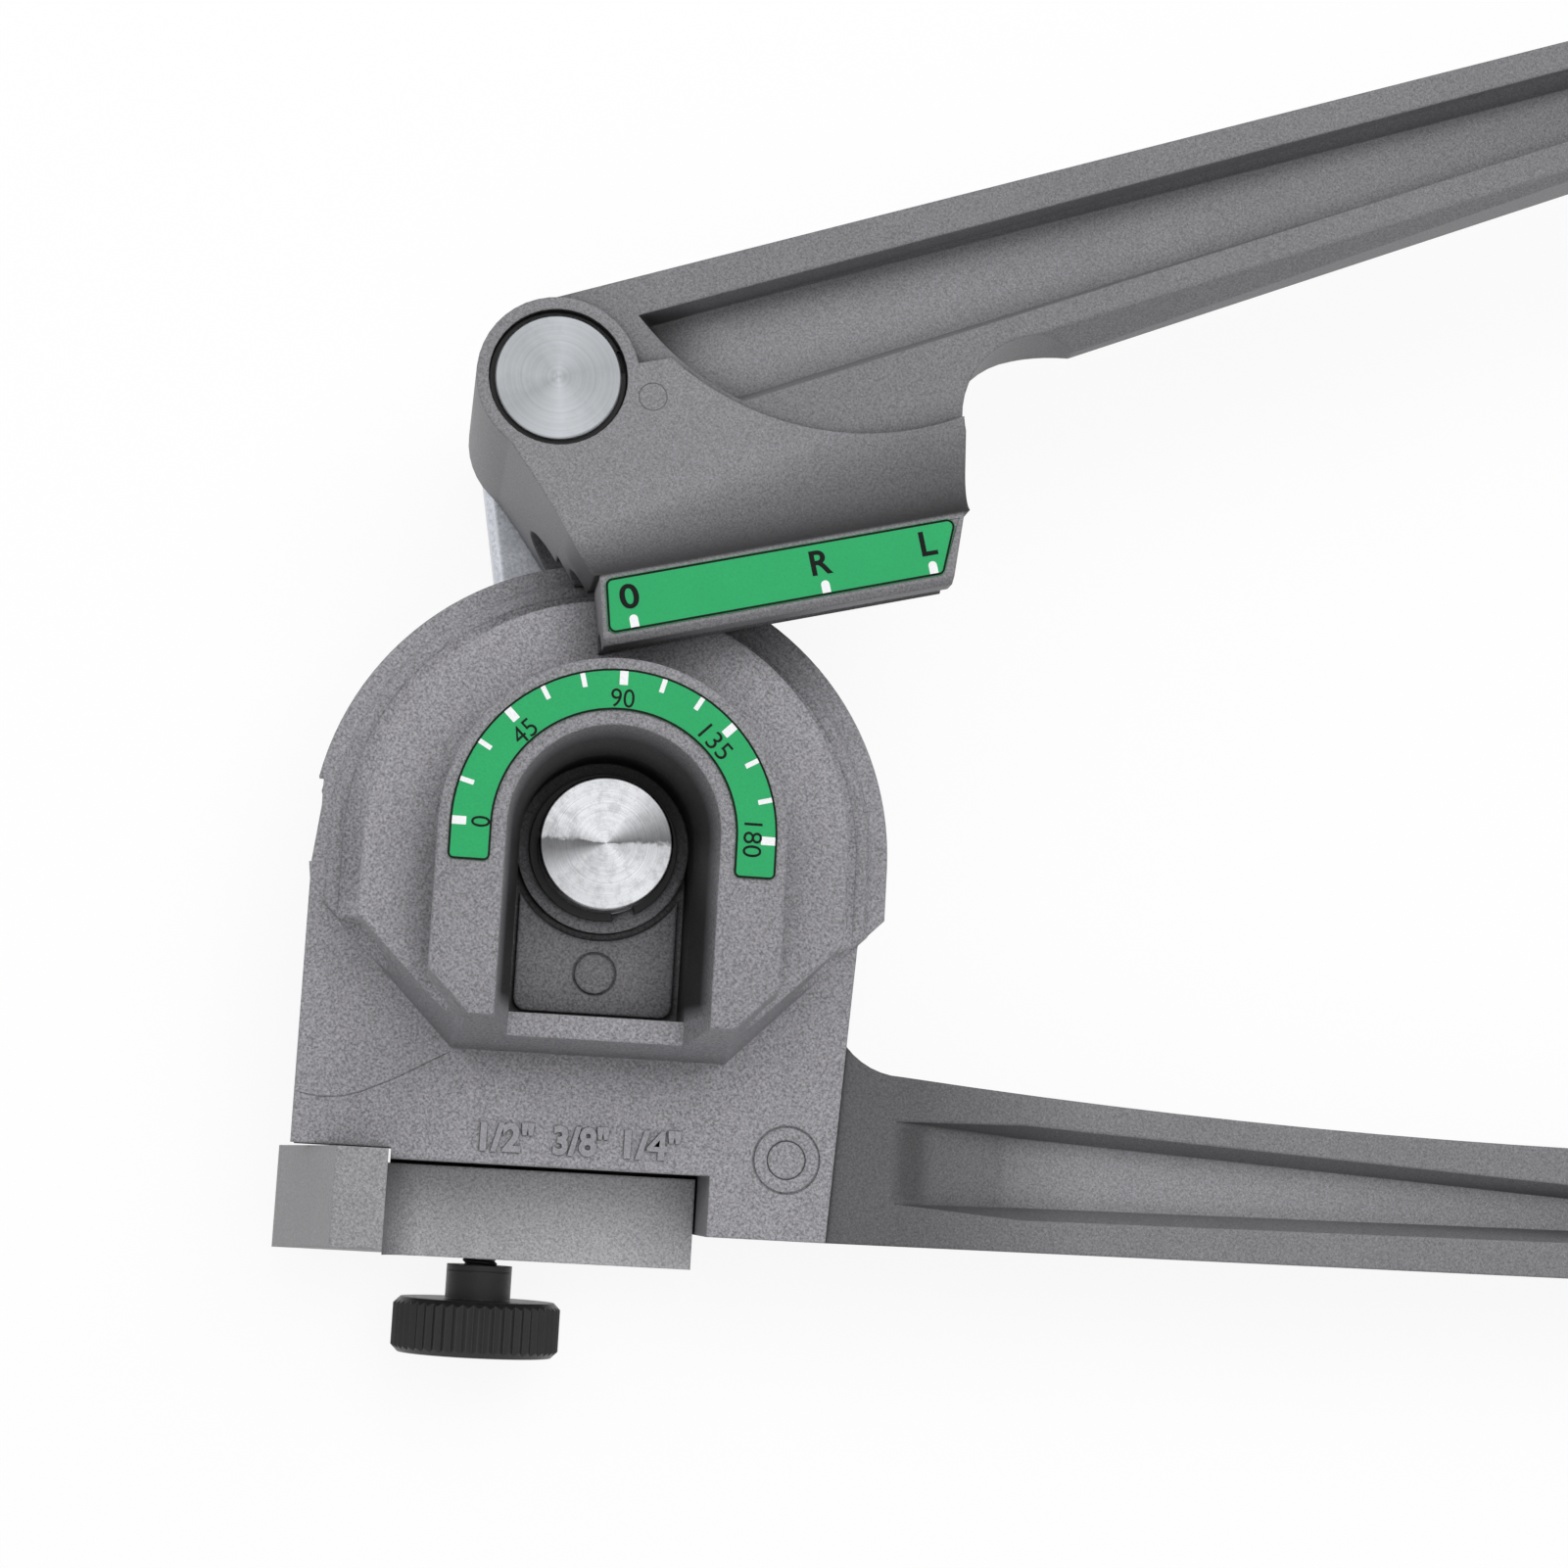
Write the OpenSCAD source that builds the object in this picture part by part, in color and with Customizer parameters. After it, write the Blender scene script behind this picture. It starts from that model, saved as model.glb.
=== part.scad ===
// Lever tube bender for three tube sizes. It lies on its back: +Z points out of the dial,
// +Y points from the lower handle to the upper pin, and +X runs along the handles.
// The origin is on the axis of the centre pin, at the back face of its head.

/* [Tube ways] */
// Outside diameter of the small tube
tube_1_d = 6.35; // [5.5:0.05:7]
// Outside diameter of the middle tube
tube_2_d = 9.525; // [8.5:0.05:10.5]
// Outside diameter of the large tube
tube_3_d = 12.7; // [11.5:0.05:13.5]
// Bend radius of the small tube, to its centre line
way_1_r = 21.8; // [21:0.1:22.5]
// Bend radius of the middle tube, to its centre line
way_2_r = 31; // [30:0.1:32]
// Bend radius of the large tube, to its centre line
way_3_r = 38.1; // [37.5:0.1:39]
// Room beside a tube in its groove
way_play = 0.1; // [0.05:0.05:0.3]
// Flat land between a groove's round and the flange beside it
way_land = 0.1; // [0.05:0.05:0.2]

/* [Forming wheel] */
// Thickness of the flange that carries the dial
front_flange_t = 4; // [3:0.1:5]
// Thickness of the flange between the small and the middle groove
mid_flange_t = 2.5; // [2:0.1:3.5]
// Thickness of the flange between the middle and the large groove
outer_flange_t = 2.5; // [2:0.1:3.5]
// Thickness of the rear flange
back_flange_t = 3; // [2.5:0.1:4]
// How far the straight left flank is set in from the large flange
flank_inset = 0.5; // [0.2:0.1:0.8]
// Distance from the centre to the slanted ends of the deck
deck_slant_reach = 31.8; // [31:0.1:32.5]
// Distance from the centre to the lower end of the deck
deck_end = 27.1; // [26:0.1:28]
// Draft of the deck's ends, in degrees
deck_draft = 8.4; // [6:0.1:10]
// Width of the dial pocket at its mouth
pocket_mouth_w = 26.8; // [25.5:0.1:28]
// Width of the dial pocket at its floor
pocket_floor_w = 22.4; // [22:0.1:23.5]
// Depth of the sloped part of the pocket's walls
pocket_slope_depth = 12.2; // [10:0.1:14]
// Depth of the pin boss below the dial face
boss_depth = 20.5; // [19:0.1:21.5]
// Depth of the pocket's floor below the dial face
pad_depth = 23; // [22:0.1:24]
// Distance from the centre to the inner face of the sill
sill_reach = 22.5; // [21:0.1:23.5]

/* [Lower plate] */
// How far the latch seat lies below the round of the large groove
plate_drop = 3.6; // [3:0.1:4.5]
// How far the plate's foot reaches below the latch seat
foot_drop = 7.9; // [7:0.1:9]
// How far the plate's right edge is set in from the large groove at its top
plate_edge_inset = 3.4; // [2.8:0.1:4]
// How far the plate's right edge leans in from its top to its end
plate_edge_lean = 2.3; // [1.5:0.1:3]

/* [Pins and link] */
// Diameter of the centre pin
centre_pin_d = 17.4; // [16:0.1:18]
// Diameter of the upper pin
upper_pin_d = 16.3; // [15.5:0.1:16.6]
// Distance between the two pins
pin_centres = 59.2; // [58.5:0.1:61]
// Direction of the upper pin from the centre pin at rest, in degrees
pin_direction = 100.2; // [99:0.1:102]
// Width of the link
link_w = 17.6; // [17:0.1:19]
// Thickness of the link
link_t = 6.5; // [5:0.1:7]
// Thickness of a pin's head behind the link
pin_head_t = 5.6; // [5:0.1:6.5]
// Thickness of a thrust washer
thrust_t = 0.6; // [0.5:0.1:1]
// Running clearance of a pin in its bore, on the radius
pin_fit = 0.04; // [0.02:0.01:0.08]

/* [Upper handle] */
// Angle by which the shoe is lifted off the wheel at rest, in degrees
shoe_lift = 14.7; // [12:0.1:18]
// Radius of the boss round the upper pin
lug_r = 10.45; // [10.3:0.05:11]
// Gap between the shoe and the rims of the wheel when the shoe is closed
shoe_gap = 0.6; // [0.4:0.1:1]
// Length of the shoe's label panel at its top edge
panel_l = 48.8; // [46:0.1:49.5]
// Height of the shoe's label panel
panel_h = 8.9; // [8:0.1:9.5]
// Distance from the dial face back to the front of the web
web_set_back = 4; // [3:0.1:5]
// Distance from the dial face back to the front of the handle beam
upper_beam_set_back = 5.4; // [4.6:0.1:6]
// Depth of the upper beam at its root
upper_beam_t = 13.5; // [12:0.1:14.5]
// Depth of the channels in the upper beam
upper_channel_depth = 6; // [4:0.1:6.5]
// Slope of the upper beam's top edge against the shoe, in degrees
upper_top_slope = 5.1; // [4.5:0.1:5.5]
// Length of the upper handle from its pin to its end
upper_handle_l = 300; // [280:1:330]

/* [Lower handle] */
// Depth of the lower beam at its root
lower_beam_t = 14.4; // [13:0.1:15]
// Distance from the dial face back to the front of the lower beam
lower_beam_set_back = 24; // [23.6:0.1:25]
// Height of the lower beam at its root
lower_root_h = 22.3; // [21.5:0.1:23.5]
// Depth of the channels in the lower beam
lower_channel_depth = 5; // [4:0.1:5.5]
// Length of the lower handle from the centre pin to its end
lower_handle_l = 304; // [290:1:330]
// Diameter of the dowel through the tang
dowel_d = 5; // [4:0.1:6]

/* [Grips] */
// Length of a grip
grip_l = 100; // [90:1:101]
// Height of a grip
grip_h = 25; // [23:0.5:28]
// Thickness of a grip
grip_t = 20; // [18:0.5:22]
// Height of a handle's core inside its grip
core_h = 15; // [13:0.5:16]
// Thickness of a handle's core inside its grip
core_t = 10; // [8:0.5:11]
// Diameter of the hanging hole
hang_hole_d = 6; // [5:0.1:7]

/* [Latch and thumb screw] */
// Height of the latch bar
bar_h = 12.1; // [11.5:0.1:13]
// Wall of the latch bar beyond the end of its slot
bar_end_wall = 5.9; // [5:0.1:6.5]
// Distance from the small tube's groove face back to the front of the hook head
hook_set_back = 5; // [4:0.1:8]
// Width of the hook head's front face
hook_face_w = 6.4; // [5:0.1:8]
// How far the hook head widens toward the back
hook_flare = 8.4; // [6:0.1:9]
// Draft of the hook head's lower end, in degrees
hook_draft = 1.7; // [0:0.1:3]
// Diameter of the thumb knob
knob_d = 22.5; // [21:0.1:23]
// Thickness of the thumb knob
knob_t = 7.3; // [6:0.1:9]
// Diameter of the knob's neck
neck_d = 8.8; // [8:0.1:10]
// Length of the knob's neck
neck_l = 3.8; // [3:0.1:6]
// Diameter of the screw's stud
stud_d = 4.8; // [4:0.1:5.2]
// Distance from the centre to the screw's axis, to the left
screw_x = 11.7; // [11:0.1:13]
// Opening between the bar and the screw's washer at rest
screw_back_off = 0.9; // [0.9:0.1:2.5]

/* [Labels] */
// Inner radius of the dial label
dial_inner_r = 15.2; // [14.8:0.1:15.6]
// Outer radius of the dial label
dial_outer_r = 20.4; // [20:0.1:20.8]
// How far the dial label runs straight past its half circle
dial_tail = 4.8; // [4:0.1:6]
// Thickness of a label
label_t = 0.3; // [0.2:0.05:0.5]

/* [Hidden] */
$fn = 96;

// Overrun of every cut past the face that it leaves
over = 1;
// Length that outreaches the whole part
far = 400;
// Flat gap between pieces that slide past each other
slide_gap = 0.3;
// Flat gap between pieces that seat on each other
seat_gap = 0.1;

// Stack of the wheel, from the bench upward
link_z = pin_head_t;
link_top_z = link_z + link_t;
wheel_back_z = link_top_z + thrust_t;
way_3_z = wheel_back_z + back_flange_t;
way_3_w = tube_3_d + way_play + 2 * way_land;
outer_flange_z = way_3_z + way_3_w;
plate_z = outer_flange_z + outer_flange_t;
way_2_z = plate_z;
way_2_w = tube_2_d + way_play + 2 * way_land;
mid_flange_z = way_2_z + way_2_w;
way_1_z = mid_flange_z + mid_flange_t;
way_1_w = tube_1_d + way_play + 2 * way_land;
front_flange_z = way_1_z + way_1_w;
dial_z = front_flange_z + front_flange_t;
flank_x = way_3_r - flank_inset;

// Edges of the lower plate
plate_end = way_3_r + plate_drop;
foot_end = plate_end + foot_drop;
plate_edge_top_x = way_3_r - plate_edge_inset;
plate_edge_end_x = plate_edge_top_x - plate_edge_lean;

// The slanted deck ends run at half a right angle
slant = 45;
slant_sum = deck_slant_reach / cos(slant);
rear_slant_step = 3;

// Raised cradle on the plate, round the middle tube's way
cradle_h = 1;
cradle_w = 4;
cradle_slope_w = 1;

// Shallow nick where the round of the plate runs into its left flank
nick_top_y = 7.2;
nick_mid_y = 3.4;
nick_low_y = -4;
nick_depth = 1.3;

// Pocket of the dial deck
pocket_slope_z = dial_z - pocket_slope_depth;
boss_z = dial_z - boss_depth;
pad_z = dial_z - pad_depth;
pad_margin = 0.9;
pad_rise = 0.8;
pad_corner_r = 1.6;
ejector_r = 2.55;
ejector_line = 0.35;
ejector_y = 16.4;

// Weight-saving pockets in the back of the wheel
back_hub_r = 13.5;
back_web_t = 3.6;
back_pocket_r = way_3_r - way_3_w / 2 - back_web_t;
back_rib_t = 3;
back_rib_count = 6;
back_pocket_z = pad_z - back_web_t;

// Rear foot that backs the latch bar and holds the insert
fence_z = 4;
foot_back_h = 11.7;
fence_t = 2.8;
foot_top_y = plate_end - foot_back_h;

// Latch bar, which passes behind the large tube
bar_front_z = way_3_z - slide_gap;
screw_z = knob_d / 2;
bar_t = 2 * (bar_front_z - screw_z);
bar_back_z = bar_front_z - bar_t;
bar_seat_gap = 0.5;
bar_top_y = -plate_end - bar_seat_gap;
bar_end_y = bar_top_y - bar_h;
jaw_x = -(way_1_r + tube_1_d / 2);
foot_left_x = -jaw_x - slide_gap;
latch_travel = way_3_r + tube_3_d / 2 + jaw_x;
hook_top_z = dial_z - hook_set_back;
hook_rise = 1.6;
hook_top_y = bar_top_y + hook_rise;
hook_seat_y = hook_top_y + slide_gap;
saddle_r = tube_3_d / 2;
slot_play = 0.8;
slot_w = stud_d + slot_play;
slot_end_x = latch_travel - screw_x;
bar_right_x = slot_end_x + slot_w / 2 + bar_end_wall;
foot_step_x = bar_right_x + slide_gap;

// Threaded insert and thumb screw
insert_d = 7;
insert_l = 8;
insert_hole_l = 10;
stud_fit = 0.06;
washer_t = 0.8;
washer_top_y = bar_end_y - screw_back_off;
neck_top_y = washer_top_y - washer_t;
knob_top_y = neck_top_y - neck_l;
knob_end_y = knob_top_y - knob_t;
stud_in_knob = 5;
stud_in_insert = 6;
knurl_count = 48;
knurl_depth = 0.45;
knob_chamfer = 0.9;

// Pins, rings and washers
ring_t = 1.2;
ring_w = 1.5;
ring_groove_depth = 0.6;
ring_fit = 0.05;
ring_gap_w = 3;
centre_ring_turn = -70;
upper_ring_turn = 20;
centre_pin_proud = 5.2;
centre_pin_top_z = boss_z + ring_t + centre_pin_proud;
pin_shank_share = 0.7;
pin_chamfer = 0.3;
upper_ring_depth = 2.2;
upper_ring_room = 0.75;
upper_ring_w = 1.15;
thrust_rim = 1.9;
link_chamfer = 0.9;

// Upper pin and the levels of the shoe
web_z = dial_z - web_set_back;
pivot = [pin_centres * cos(pin_direction), pin_centres * sin(pin_direction)];
shoe_drop = pivot[1];
lip_y = way_1_r + shoe_gap - shoe_drop;
step_2_y = way_2_r + shoe_gap - shoe_drop;
step_3_y = way_3_r + shoe_gap - shoe_drop;
panel_top_y = lip_y + panel_h;
panel_left_x = -1.4;
panel_slant_left = 1.2;
panel_slant_right = 3.4;
panel_draft_w = 0.9;
panel_wall_z = dial_z - panel_draft_w;
cove_r = 6.5;
cove_run = sqrt(cove_r * cove_r - (cove_r - web_set_back) * (cove_r - web_set_back));
shoe_left_x = -0.8;
shoe_right_x = 48.1;
rear_block_right_x = 31.5;
flank_top_turn = 211;
flank_top_share = 0.96;
flank_bow = 0.55;
flank_steps = 10;
throat_r = 11.4;
throat_x = 62.1;
throat_y = -15.9;
web_right_x = throat_x - throat_r;
sweep_r = 36.6;
sweep_x = 44;
sweep_y = 22;

// Grips and hanging eyes
eye_r = 7.2;
eye_t = 6;
eye_l = 12;
grip_gap = 0.05;
channel_stop = 8;

// Upper beam, whose edges are straight lines in the shoe's frame
upper_beam_z = dial_z - upper_beam_set_back;
upper_back_z = upper_beam_z - upper_beam_t;
upper_under_x = 52;
upper_under_y = -9.2;
upper_under_slope = 8.9;
upper_straight_x = 186;
upper_edge_x = 67.5;
upper_edge_y = -3.8;
upper_edge_slope = 7.5;
upper_bevel_turn = 29;
throat_top_y = line_at(upper_edge_x, upper_edge_y, upper_edge_slope, throat_x);
upper_flange_w = 3.4;
upper_flange_low_w = 4.2;
upper_rear_x = 78;
upper_rear_low_w = 6.5;
upper_rear_channel_depth = 3.6;
channel_draft = 1.7;
channel_low_draft = 0.6;
channel_arc_r = 35.65;
channel_arc_steps = 12;
channel_tip_x = 11.9;
channel_tip_y = 6.6;
channel_heel_x = 23.2;
channel_heel_y = -6.7;
channel_cap = 0.1;
upper_top_x = -lug_r * sin(upper_top_slope);
upper_top_y = lug_r * cos(upper_top_slope);
upper_end_top_y = line_at(upper_top_x, upper_top_y, upper_top_slope, upper_straight_x);
upper_end_low_y = line_at(upper_under_x, upper_under_y, upper_under_slope, upper_straight_x);
upper_axis_y = (upper_end_top_y + upper_end_low_y) / 2;
upper_axis_turn = (upper_top_slope + upper_under_slope) / 2;
upper_end_half_h = (upper_end_top_y - upper_end_low_y) / 2;
upper_core_l = upper_handle_l - eye_l - upper_straight_x;
upper_core_inset = 0.3;
upper_grip_z = upper_beam_z - upper_core_inset - core_t / 2;

// Lower beam
lower_beam_z = dial_z - lower_beam_set_back;
lower_back_z = lower_beam_z - lower_beam_t;
lower_shoulder_r = 10;
lower_shoulder_turn = 50;
lower_shoulder_steps = 6;
lower_shoulder_end_y = lower_root_h - foot_end + lower_shoulder_r * (1 - cos(lower_shoulder_turn));
lower_shoulder_x = plate_edge_at(lower_shoulder_end_y) + seat_gap
    + lower_shoulder_r * sin(lower_shoulder_turn);
lower_mid_x = 135;
lower_drop = 4.2;
lower_top_steps = 10;
lower_taper_x = 62;
lower_straight_x = 188;
lower_channel_x = 41;
lower_channel_bend_x = 58.5;
lower_channel_end_h = 5;
lower_channel_end_y = 5.9;
lower_channel_bend_top = 16.9;
lower_channel_bend_low = 4.3;
lower_channel_root_top = 16.4;
lower_channel_root_low = 5.6;
lower_core_rise = 8.4;
lower_core_y = lower_core_rise - foot_end;
lower_core_l = lower_handle_l - eye_l - lower_straight_x;
lower_root_x = plate_edge_at(-foot_end) + seat_gap;
lower_grip_z = lower_back_z + lower_beam_t / 2;
tang_l = 14;
tang_h = 15;
tang_t = 8;
tang_rise = 3;
tang_y = tang_rise - foot_end;
tang_gap = 0.05;
tang_z = lower_back_z + (lower_beam_t - tang_t) / 2;
dowel_inset = 5.7;
dowel_rise = 10.5;
dowel_x = plate_edge_end_x - dowel_inset;
dowel_y = dowel_rise - foot_end;
dowel_ring_r = 4.2;
dowel_ring_line = 0.3;

// Margins of the labels
label_margin_x = 0.85;
label_margin_y = 0.75;
dial_corner_r = 0.75;

function line_at(x0, y0, slope, x) = y0 + (x - x0) * tan(slope);

function arc_points(c, r, a0, a1, n) =
    [for (i = [0 : n]) let (a = a0 + (a1 - a0) * i / n) [c[0] + r * cos(a), c[1] + r * sin(a)]];

// Points of a shallow bow between two points; a positive rise bends it to the right of its run
function bow_points(p, q, rise, n) =
    let (d = q - p, side = [-d[1], d[0]] / norm(d))
    [for (i = [0 : n]) let (t = i / n) p + d * t + side * (4 * rise * t * (1 - t))];

// Solid between two levels, from a flat outline
module slab(z0, z1) {
    translate([0, 0, z0]) linear_extrude(z1 - z0) children();
}

// Flat outline of a half disc with two straight legs below it
module arch(r, left, right, leg) {
    circle(r);
    translate([-left, -leg]) square([left + right, leg]);
}

// Flat outline of a rectangle with round corners, centred
module round_rect(w, h, r) {
    square([w - 2 * r, h], center = true);
    square([w, h - 2 * r], center = true);
    for (sx = [-1, 1], sy = [-1, 1]) {
        translate([sx * (w / 2 - r), sy * (h / 2 - r)]) circle(r);
    }
}

// Half-round groove that follows the arch: over the top and down both flanks
module arch_groove(bend_r, z0, w, left_leg, right_leg) {
    groove_d = w - 2 * way_land;
    translate([0, 0, z0 + w / 2]) {
        rotate_extrude(angle = 180) translate([bend_r, 0]) circle(d = groove_d);
        translate([-bend_r, 0, 0]) rotate([90, 0, 0]) cylinder(h = left_leg, d = groove_d);
        translate([bend_r, 0, 0]) rotate([90, 0, 0]) cylinder(h = right_leg, d = groove_d);
    }
}

// Drafted half space that ends the deck, at a reach from the centre
module deck_end_cut(direction, reach) {
    rotate([0, 0, direction])
        translate([reach, 0, plate_z])
            rotate([0, -deck_draft, 0])
                translate([0, -far / 2, -far / 2]) cube(far);
}

// Dial deck: the two front tiers, cut off by the slanted ends
module deck() {
    difference() {
        union() {
            slab(way_1_z, dial_z) arch(way_1_r, way_1_r, way_1_r, deck_end + over);
            slab(plate_z, way_1_z) arch(way_2_r, way_2_r, way_2_r, deck_end + over);
            cradle();
        }
        deck_end_cut(-90, deck_end);
        deck_end_cut(-90 - slant, deck_slant_reach);
        deck_end_cut(-90 + slant, deck_slant_reach);
    }
}

// Low ridge that cradles the back of the middle tube, with a sloped outer side
module cradle() {
    top_r = way_2_r + cradle_w;
    foot_r = top_r + cradle_slope_w;
    translate([0, 0, plate_z - over]) cylinder(h = over, r = foot_r);
    translate([0, 0, plate_z]) cylinder(h = cradle_h, r1 = foot_r, r2 = top_r);
    rotate([90, 0, 0]) linear_extrude(deck_end) polygon([
        [-foot_r, plate_z - over],
        [foot_r, plate_z - over],
        [foot_r, plate_z],
        [top_r, plate_z + cradle_h],
        [-top_r, plate_z + cradle_h],
        [-foot_r, plate_z]
    ]);
}

// Outline of the plate and the flanks of the large groove, with its right slant at a given sum
module plate_outline(sum) {
    difference() {
        union() {
            circle(way_3_r);
            polygon([
                [-flank_x, 0],
                [-flank_x, hook_seat_y],
                [jaw_x + slide_gap, hook_seat_y],
                [jaw_x + slide_gap, -plate_end],
                [foot_step_x, -plate_end],
                [foot_step_x, -foot_end],
                [plate_edge_end_x, -foot_end],
                [plate_edge_top_x, plate_edge_top_x - sum],
                [way_3_r, way_3_r - sum],
                [way_3_r, 0]
            ]);
        }
        polygon([
            [plate_edge_end_x, -foot_end],
            [plate_edge_top_x, plate_edge_top_x - sum],
            [way_3_r + over, way_3_r + over - sum],
            [way_3_r + over, -foot_end]
        ]);
        polygon([
            [-far, nick_top_y],
            [nick_depth - way_3_r, nick_top_y],
            [nick_depth - way_3_r, nick_mid_y],
            [-flank_x, nick_low_y],
            [-far, nick_low_y]
        ]);
    }
}

// Rear foot behind the latch bar
module rear_foot() {
    difference() {
        slab(fence_z, wheel_back_z) polygon([
            [-foot_left_x, -foot_top_y],
            [-foot_left_x, -foot_end],
            [plate_edge_end_x, -foot_end],
            [plate_edge_at(-foot_top_y), -foot_top_y]
        ]);
        translate([-far + foot_step_x, -far - plate_end, fence_z + fence_t]) cube(far);
    }
}

// Place of the plate's right edge at a given height
function plate_edge_at(y) =
    plate_edge_end_x + (plate_edge_top_x - plate_edge_end_x)
        * (y + foot_end) / (plate_edge_top_x - slant_sum + foot_end);

// U-shaped pocket in the dial deck, with its boss and floor
module dial_pocket() {
    translate([0, 0, pocket_slope_z])
        cylinder(h = pocket_slope_depth + over,
            d1 = pocket_floor_w,
            d2 = pocket_mouth_w + over * (pocket_mouth_w - pocket_floor_w) / pocket_slope_depth);
    rotate([90, 0, 0]) linear_extrude(deck_end + over) polygon([
        [-pocket_floor_w / 2, pocket_slope_z],
        [pocket_floor_w / 2, pocket_slope_z],
        [pocket_mouth_w / 2, dial_z],
        [pocket_mouth_w / 2, dial_z + over],
        [-pocket_mouth_w / 2, dial_z + over],
        [-pocket_mouth_w / 2, dial_z]
    ]);
    slab(boss_z, pocket_slope_z + over) {
        circle(d = pocket_floor_w);
        translate([-pocket_floor_w / 2, -sill_reach]) square([pocket_floor_w, sill_reach]);
    }
    slab(pad_z, boss_z + over) difference() {
        translate([-pocket_floor_w / 2, -sill_reach]) square([pocket_floor_w, sill_reach]);
        circle(d = pocket_floor_w);
    }
}

// Raised pad on the pocket's floor, with the round mark of an ejector pin
module pocket_pad() {
    pad_h = sill_reach - pad_margin;
    difference() {
        slab(pad_z - over, pad_z + pad_rise) difference() {
            translate([0, -pad_h / 2 - pad_margin / 2])
                round_rect(pocket_floor_w - 2 * pad_margin, pad_h - pad_margin, pad_corner_r);
            circle(d = pocket_floor_w + 2 * pad_margin);
        }
        translate([0, -ejector_y, pad_z + pad_rise - ejector_line]) difference() {
            cylinder(h = over, r = ejector_r + ejector_line);
            translate([0, 0, -over]) cylinder(h = 3 * over, r = ejector_r);
        }
    }
}

// Ring of pockets in the back of the wheel, parted by ribs
module back_pockets() {
    difference() {
        slab(wheel_back_z - over, back_pocket_z) difference() {
            circle(back_pocket_r);
            circle(back_hub_r);
        }
        for (i = [0 : back_rib_count - 1]) {
            rotate([0, 0, i * 360 / back_rib_count])
                translate([0, -back_rib_t / 2, 0]) cube([far, back_rib_t, far]);
        }
    }
}

// Socket in the plate that takes the lower handle's tang
module tang_socket() {
    translate([plate_edge_end_x - tang_l, tang_y, tang_z]) cube([far, tang_h, tang_t]);
}

module forming_wheel() {
    color("#85868a") difference() {
        union() {
            difference() {
                union() {
                    deck();
                    slab(wheel_back_z, outer_flange_z) plate_outline(slant_sum - rear_slant_step);
                    slab(outer_flange_z, plate_z) plate_outline(slant_sum);
                    rear_foot();
                }
                dial_pocket();
            }
            pocket_pad();
        }
        arch_groove(way_1_r, way_1_z, way_1_w, far, far);
        arch_groove(way_2_r, way_2_z, way_2_w, far, far);
        arch_groove(way_3_r, way_3_z, way_3_w, far, slant_sum - plate_edge_top_x);
        back_pockets();
        tang_socket();
        translate([0, 0, wheel_back_z - over])
            cylinder(h = far, r = centre_pin_d / 2 + pin_fit);
        translate([dowel_x, dowel_y, wheel_back_z - over]) cylinder(h = far, d = dowel_d);
        translate([dowel_x, dowel_y, plate_z - dowel_ring_line]) difference() {
            cylinder(h = over, r = dowel_ring_r + dowel_ring_line);
            translate([0, 0, -over]) cylinder(h = 3 * over, r = dowel_ring_r);
        }
        translate([-screw_x, -plate_end - over, screw_z])
            rotate([-90, 0, 0]) cylinder(h = insert_hole_l + over, d = insert_d);
    }
}

module dial_label() {
    mid_r = (dial_inner_r + dial_outer_r) / 2;
    strip_w = dial_outer_r - dial_inner_r;
    color("#3cb26a") slab(dial_z, dial_z + label_t) {
        difference() {
            circle(dial_outer_r);
            circle(dial_inner_r);
            translate([-far / 2, -far]) square(far);
        }
        for (side = [-1, 1]) {
            translate([side * mid_r, -dial_tail / 2]) {
                round_rect(strip_w, dial_tail, dial_corner_r);
                translate([-strip_w / 2, 0]) square([strip_w, dial_tail / 2]);
            }
        }
    }
}

// Handle core with a flat hanging eye, along X from the origin, sunk into the beam behind it
module handle_core(length, sunk) {
    difference() {
        union() {
            translate([-sunk, -core_h / 2, -core_t / 2]) cube([length + sunk, core_h, core_t]);
            translate([length, 0, 0]) {
                translate([-over, -eye_r, -eye_t / 2]) cube([eye_l - eye_r + over, 2 * eye_r, eye_t]);
                translate([eye_l - eye_r, 0, -eye_t / 2]) cylinder(h = eye_t, r = eye_r);
            }
        }
        translate([length + eye_l - eye_r, 0, -far / 2]) cylinder(h = far, d = hang_hole_d);
    }
}

// Drafted channel between a mouth outline and a smaller floor outline
module channel(mouth, floor_points, mouth_z, floor_z) {
    front = mouth_z > floor_z;
    hull() {
        translate([0, 0, front ? mouth_z : mouth_z - over]) linear_extrude(over) polygon(mouth);
        translate([0, 0, front ? floor_z : floor_z - channel_cap])
            linear_extrude(channel_cap) polygon(floor_points);
    }
}

// Side outline of the lower beam: its top falls off in a shoulder and then a long curve
module lower_outline() {
    shoulder_y = lower_root_h - foot_end;
    run = lower_mid_x - lower_shoulder_x;
    polygon(concat(
        [[lower_root_x, -foot_end],
            [lower_straight_x, lower_core_y - core_h / 2],
            [lower_straight_x, lower_core_y + core_h / 2]],
        [for (i = [lower_top_steps : -1 : 1]) let (t = i / lower_top_steps)
            [lower_shoulder_x + t * run, shoulder_y - lower_drop * t * (2 - t)]],
        arc_points([lower_shoulder_x, shoulder_y + lower_shoulder_r], lower_shoulder_r,
            270, 270 - lower_shoulder_turn, lower_shoulder_steps)
    ));
}

// Plan outline of the lower beam, which thins toward the grip
module lower_plan() {
    polygon([
        [0, lower_back_z],
        [lower_taper_x, lower_back_z],
        [lower_straight_x, lower_grip_z - core_t / 2],
        [lower_straight_x, lower_grip_z + core_t / 2],
        [lower_mid_x, lower_beam_z],
        [0, lower_beam_z]
    ]);
}

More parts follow.
